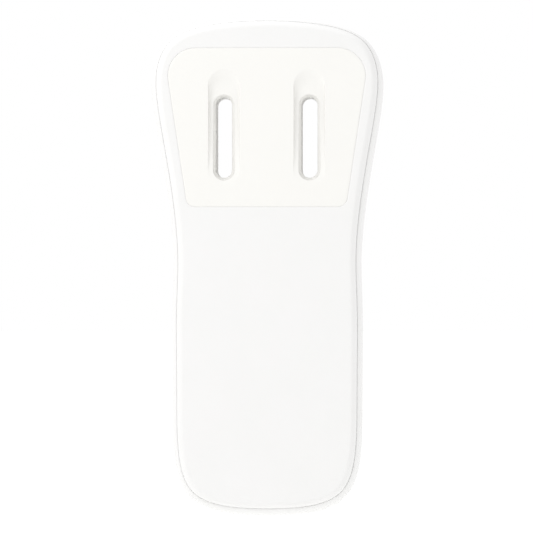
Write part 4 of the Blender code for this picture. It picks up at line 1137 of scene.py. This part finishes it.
# Its rings, each (depth, inset): out along the inner wall, over the seal and the skirt that
# fills the gap behind the lip, and in over the soft edge to the flat face.
profile = [(1.8, 5.8), (1.8, 5.2), (2.4, 4.35), (3.1, 4.0), (3.2, 3.9), (3.25, 2.7), (3.8, 2.6), (3.9, 2.5)]
profile += [(3.9, 1.75), (3.8, LIP_INSET + SEAM)]
profile += quarter((3.1, LIP_INSET + SEAM), (0.0, 3.7), BODY_STEPS)
profile += [(0.0, 4.05)]
cover = skin("rear_cover_shell", [(depth, case_outline(inset, REAR_LIFT)) for depth, inset in profile])

PANEL_LOW = 93.2
PANEL_HIGH = 141.0
PANEL_LOW_HALF = 23.9
PANEL_HIGH_HALF = 31.1
SEAM_ROUND = (0.8, 0.14)


def panel_outline(grow):
    """The trapezoid of the hanger panel, grown by a margin."""
    corners = [(-PANEL_LOW_HALF - grow, PANEL_LOW - grow), (PANEL_LOW_HALF + grow, PANEL_LOW - grow),
               (PANEL_HIGH_HALF + grow, PANEL_HIGH + grow), (-PANEL_HIGH_HALF - grow, PANEL_HIGH + grow)]
    return round_corners(corners, [2.8 + grow] * 2 + [8.4 + grow] * 2, 10)


RECESS_LOW = 99.6
RECESS_HIGH = 134.4
RECESS_WIDTH = 9.4
BOSS = 1.2
ribs = [shape("bed_floor", panel_outline(1.0), 1.0, 2.95)]
ribs += [shape("screw_well", disc(x, height, 3.4), 2.2, 5.2) for x, height in case_screws]
for side in (-1, 1):
    ribs.append(block("hook", (side * 12 - 2, 1.4, 6.6), (side * 12 + 2, 7.6, 7.8), 0.3))
join_or_cut(cover, ribs, "UNION")
cuts = [flared("panel_bed", lambda grow: panel_outline(SEAM + grow), 1.9, 0.0, *SEAM_ROUND, 6)]
for side in (-1, 1):
    outline = stadium(side * SLOT_ACROSS, RECESS_LOW - BOSS - GAP, RECESS_HIGH + BOSS + GAP,
                      RECESS_WIDTH + 2 * (BOSS + GAP))
    cuts.append(shape("boss_clearance", outline, 1.0, 4.0))
cuts += [shape("head_bore", disc(x, height, 2.6), 1.0, 3.7) for x, height in case_screws]
cuts += [shape("shank_bore", disc(x, height, 1.45), 3.0, 6.0) for x, height in case_screws]
join_or_cut(cover, cuts, "DIFFERENCE")
smooth(cover)
coat(cover, moulded_abs_white)
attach(cover, "case")
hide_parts("rear_cover")

# ------------------------------------------------------------------ case screws
# Four longer screws of the same kind hold the cover to the housing's pillars. They sit in the
# wells of the panel's bed, so that they show only once the panel is lifted off.
for number, place in enumerate(case_screws):
    threaded_screw(f"case_screw_{number + 1}", place, (2.1, 3.4), 2.2, 14.0, 1.15, 0.9)

# ------------------------------------------------------------------ hanger panel
# The flush panel with the two hanging slots, in the case's ABS but painted a lighter, warmer white:
# painted light, so that the face below it reads as lying in more shade. Each slot is a tube right
# through the head, in a recess that is deepest where a hook slides in.
profile = [(1.6, 0.5), (1.6, 0.12), (1.5, 0.02), (1.4, 0.0)]
profile += quarter((SEAM_ROUND[1], 0.0), (0.0, SEAM_ROUND[0]), 6) + [(0.0, 1.2)]
panel = skin("hanger_panel_plate", [(depth, panel_outline(-inset)) for depth, inset in profile])
ribs = []
for side in (-1, 1):
    x = side * SLOT_ACROSS
    outline = stadium(x, RECESS_LOW - BOSS, RECESS_HIGH + BOSS, RECESS_WIDTH + 2 * BOSS)
    ribs.append(shape("boss", outline, 0.8, 3.0))
    ribs.append(skin("tube", [
        (depth, stadium(x, SLOT_LOW - TUBE_WALL + inset, SLOT_HIGH + TUBE_WALL - inset,
                        SLOT_WIDTH + 2 * (TUBE_WALL - inset)))
        for depth, inset in [(2.0, 0.0)] + quarter((21.3, 0.0), (21.6, 0.3), 3)]))
join_or_cut(panel, ribs, "UNION")
# On its way down to its floor a recess narrows in RAMP_STEPS rings: its lower end comes in by
# LOW_RAMP and its upper end by HIGH_RAMP.
RECESS_DEPTH = 1.2
RAMP_STEPS = 8
LOW_RAMP = 17.0
HIGH_RAMP = 5.4
SHALLOWEST = 0.04
FLARE = 0.9
cuts = []
for side in (-1, 1):
    x = side * SLOT_ACROSS
    scoop = [(depth, RECESS_LOW - 0.2, RECESS_HIGH + 0.2, RECESS_WIDTH + 0.3) for depth in (-1.0, 0.0)]
    scoop += [(SHALLOWEST, RECESS_LOW + 0.1, RECESS_HIGH, RECESS_WIDTH + 0.1)]
    for step in range(1, RAMP_STEPS + 1):
        share = step / RAMP_STEPS
        depth = SHALLOWEST + (RECESS_DEPTH - SHALLOWEST) * math.sin(share * math.pi / 2) ** 1.2
        scoop.append((depth, RECESS_LOW + LOW_RAMP * share, RECESS_HIGH - HIGH_RAMP * share,
                      RECESS_WIDTH - 0.6 * share))
    cuts.append(skin("recess", [(depth, stadium(x, low, high, width)) for depth, low, high, width in scoop]))
    way = [(-1.0, FLARE), (RECESS_DEPTH - 0.1, FLARE)]
    for step in range(1, 8):
        sunk = math.sin(0.2 * step)
        way.append((RECESS_DEPTH + 1.5 * sunk, FLARE * (1 - sunk) ** 1.5))
    way += [(3.2, 0.0), (20.8, 0.0), (21.1, 0.08), (21.35, 0.25), (21.52, 0.5), (21.6, 0.8), (22.4, 0.9)]
    cuts.append(skin("slot", [
        (depth, stadium(x, SLOT_LOW - flare, SLOT_HIGH + flare, SLOT_WIDTH + 2 * flare))
        for depth, flare in way]))
join_or_cut(panel, cuts, "DIFFERENCE")
smooth(panel)
# The same ABS, a trace duller than the case, with a lighter, warmer white painted in as painted light, so
# that the face below the panel reads as more shaded.
moulded_abs_painted_light = moulded("moulded_abs_painted_light", "E6E5E2", "E8E7E4", 0.38, 0.48)
coat(panel, moulded_abs_painted_light)
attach(panel, "panel")
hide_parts("hanger_panel")
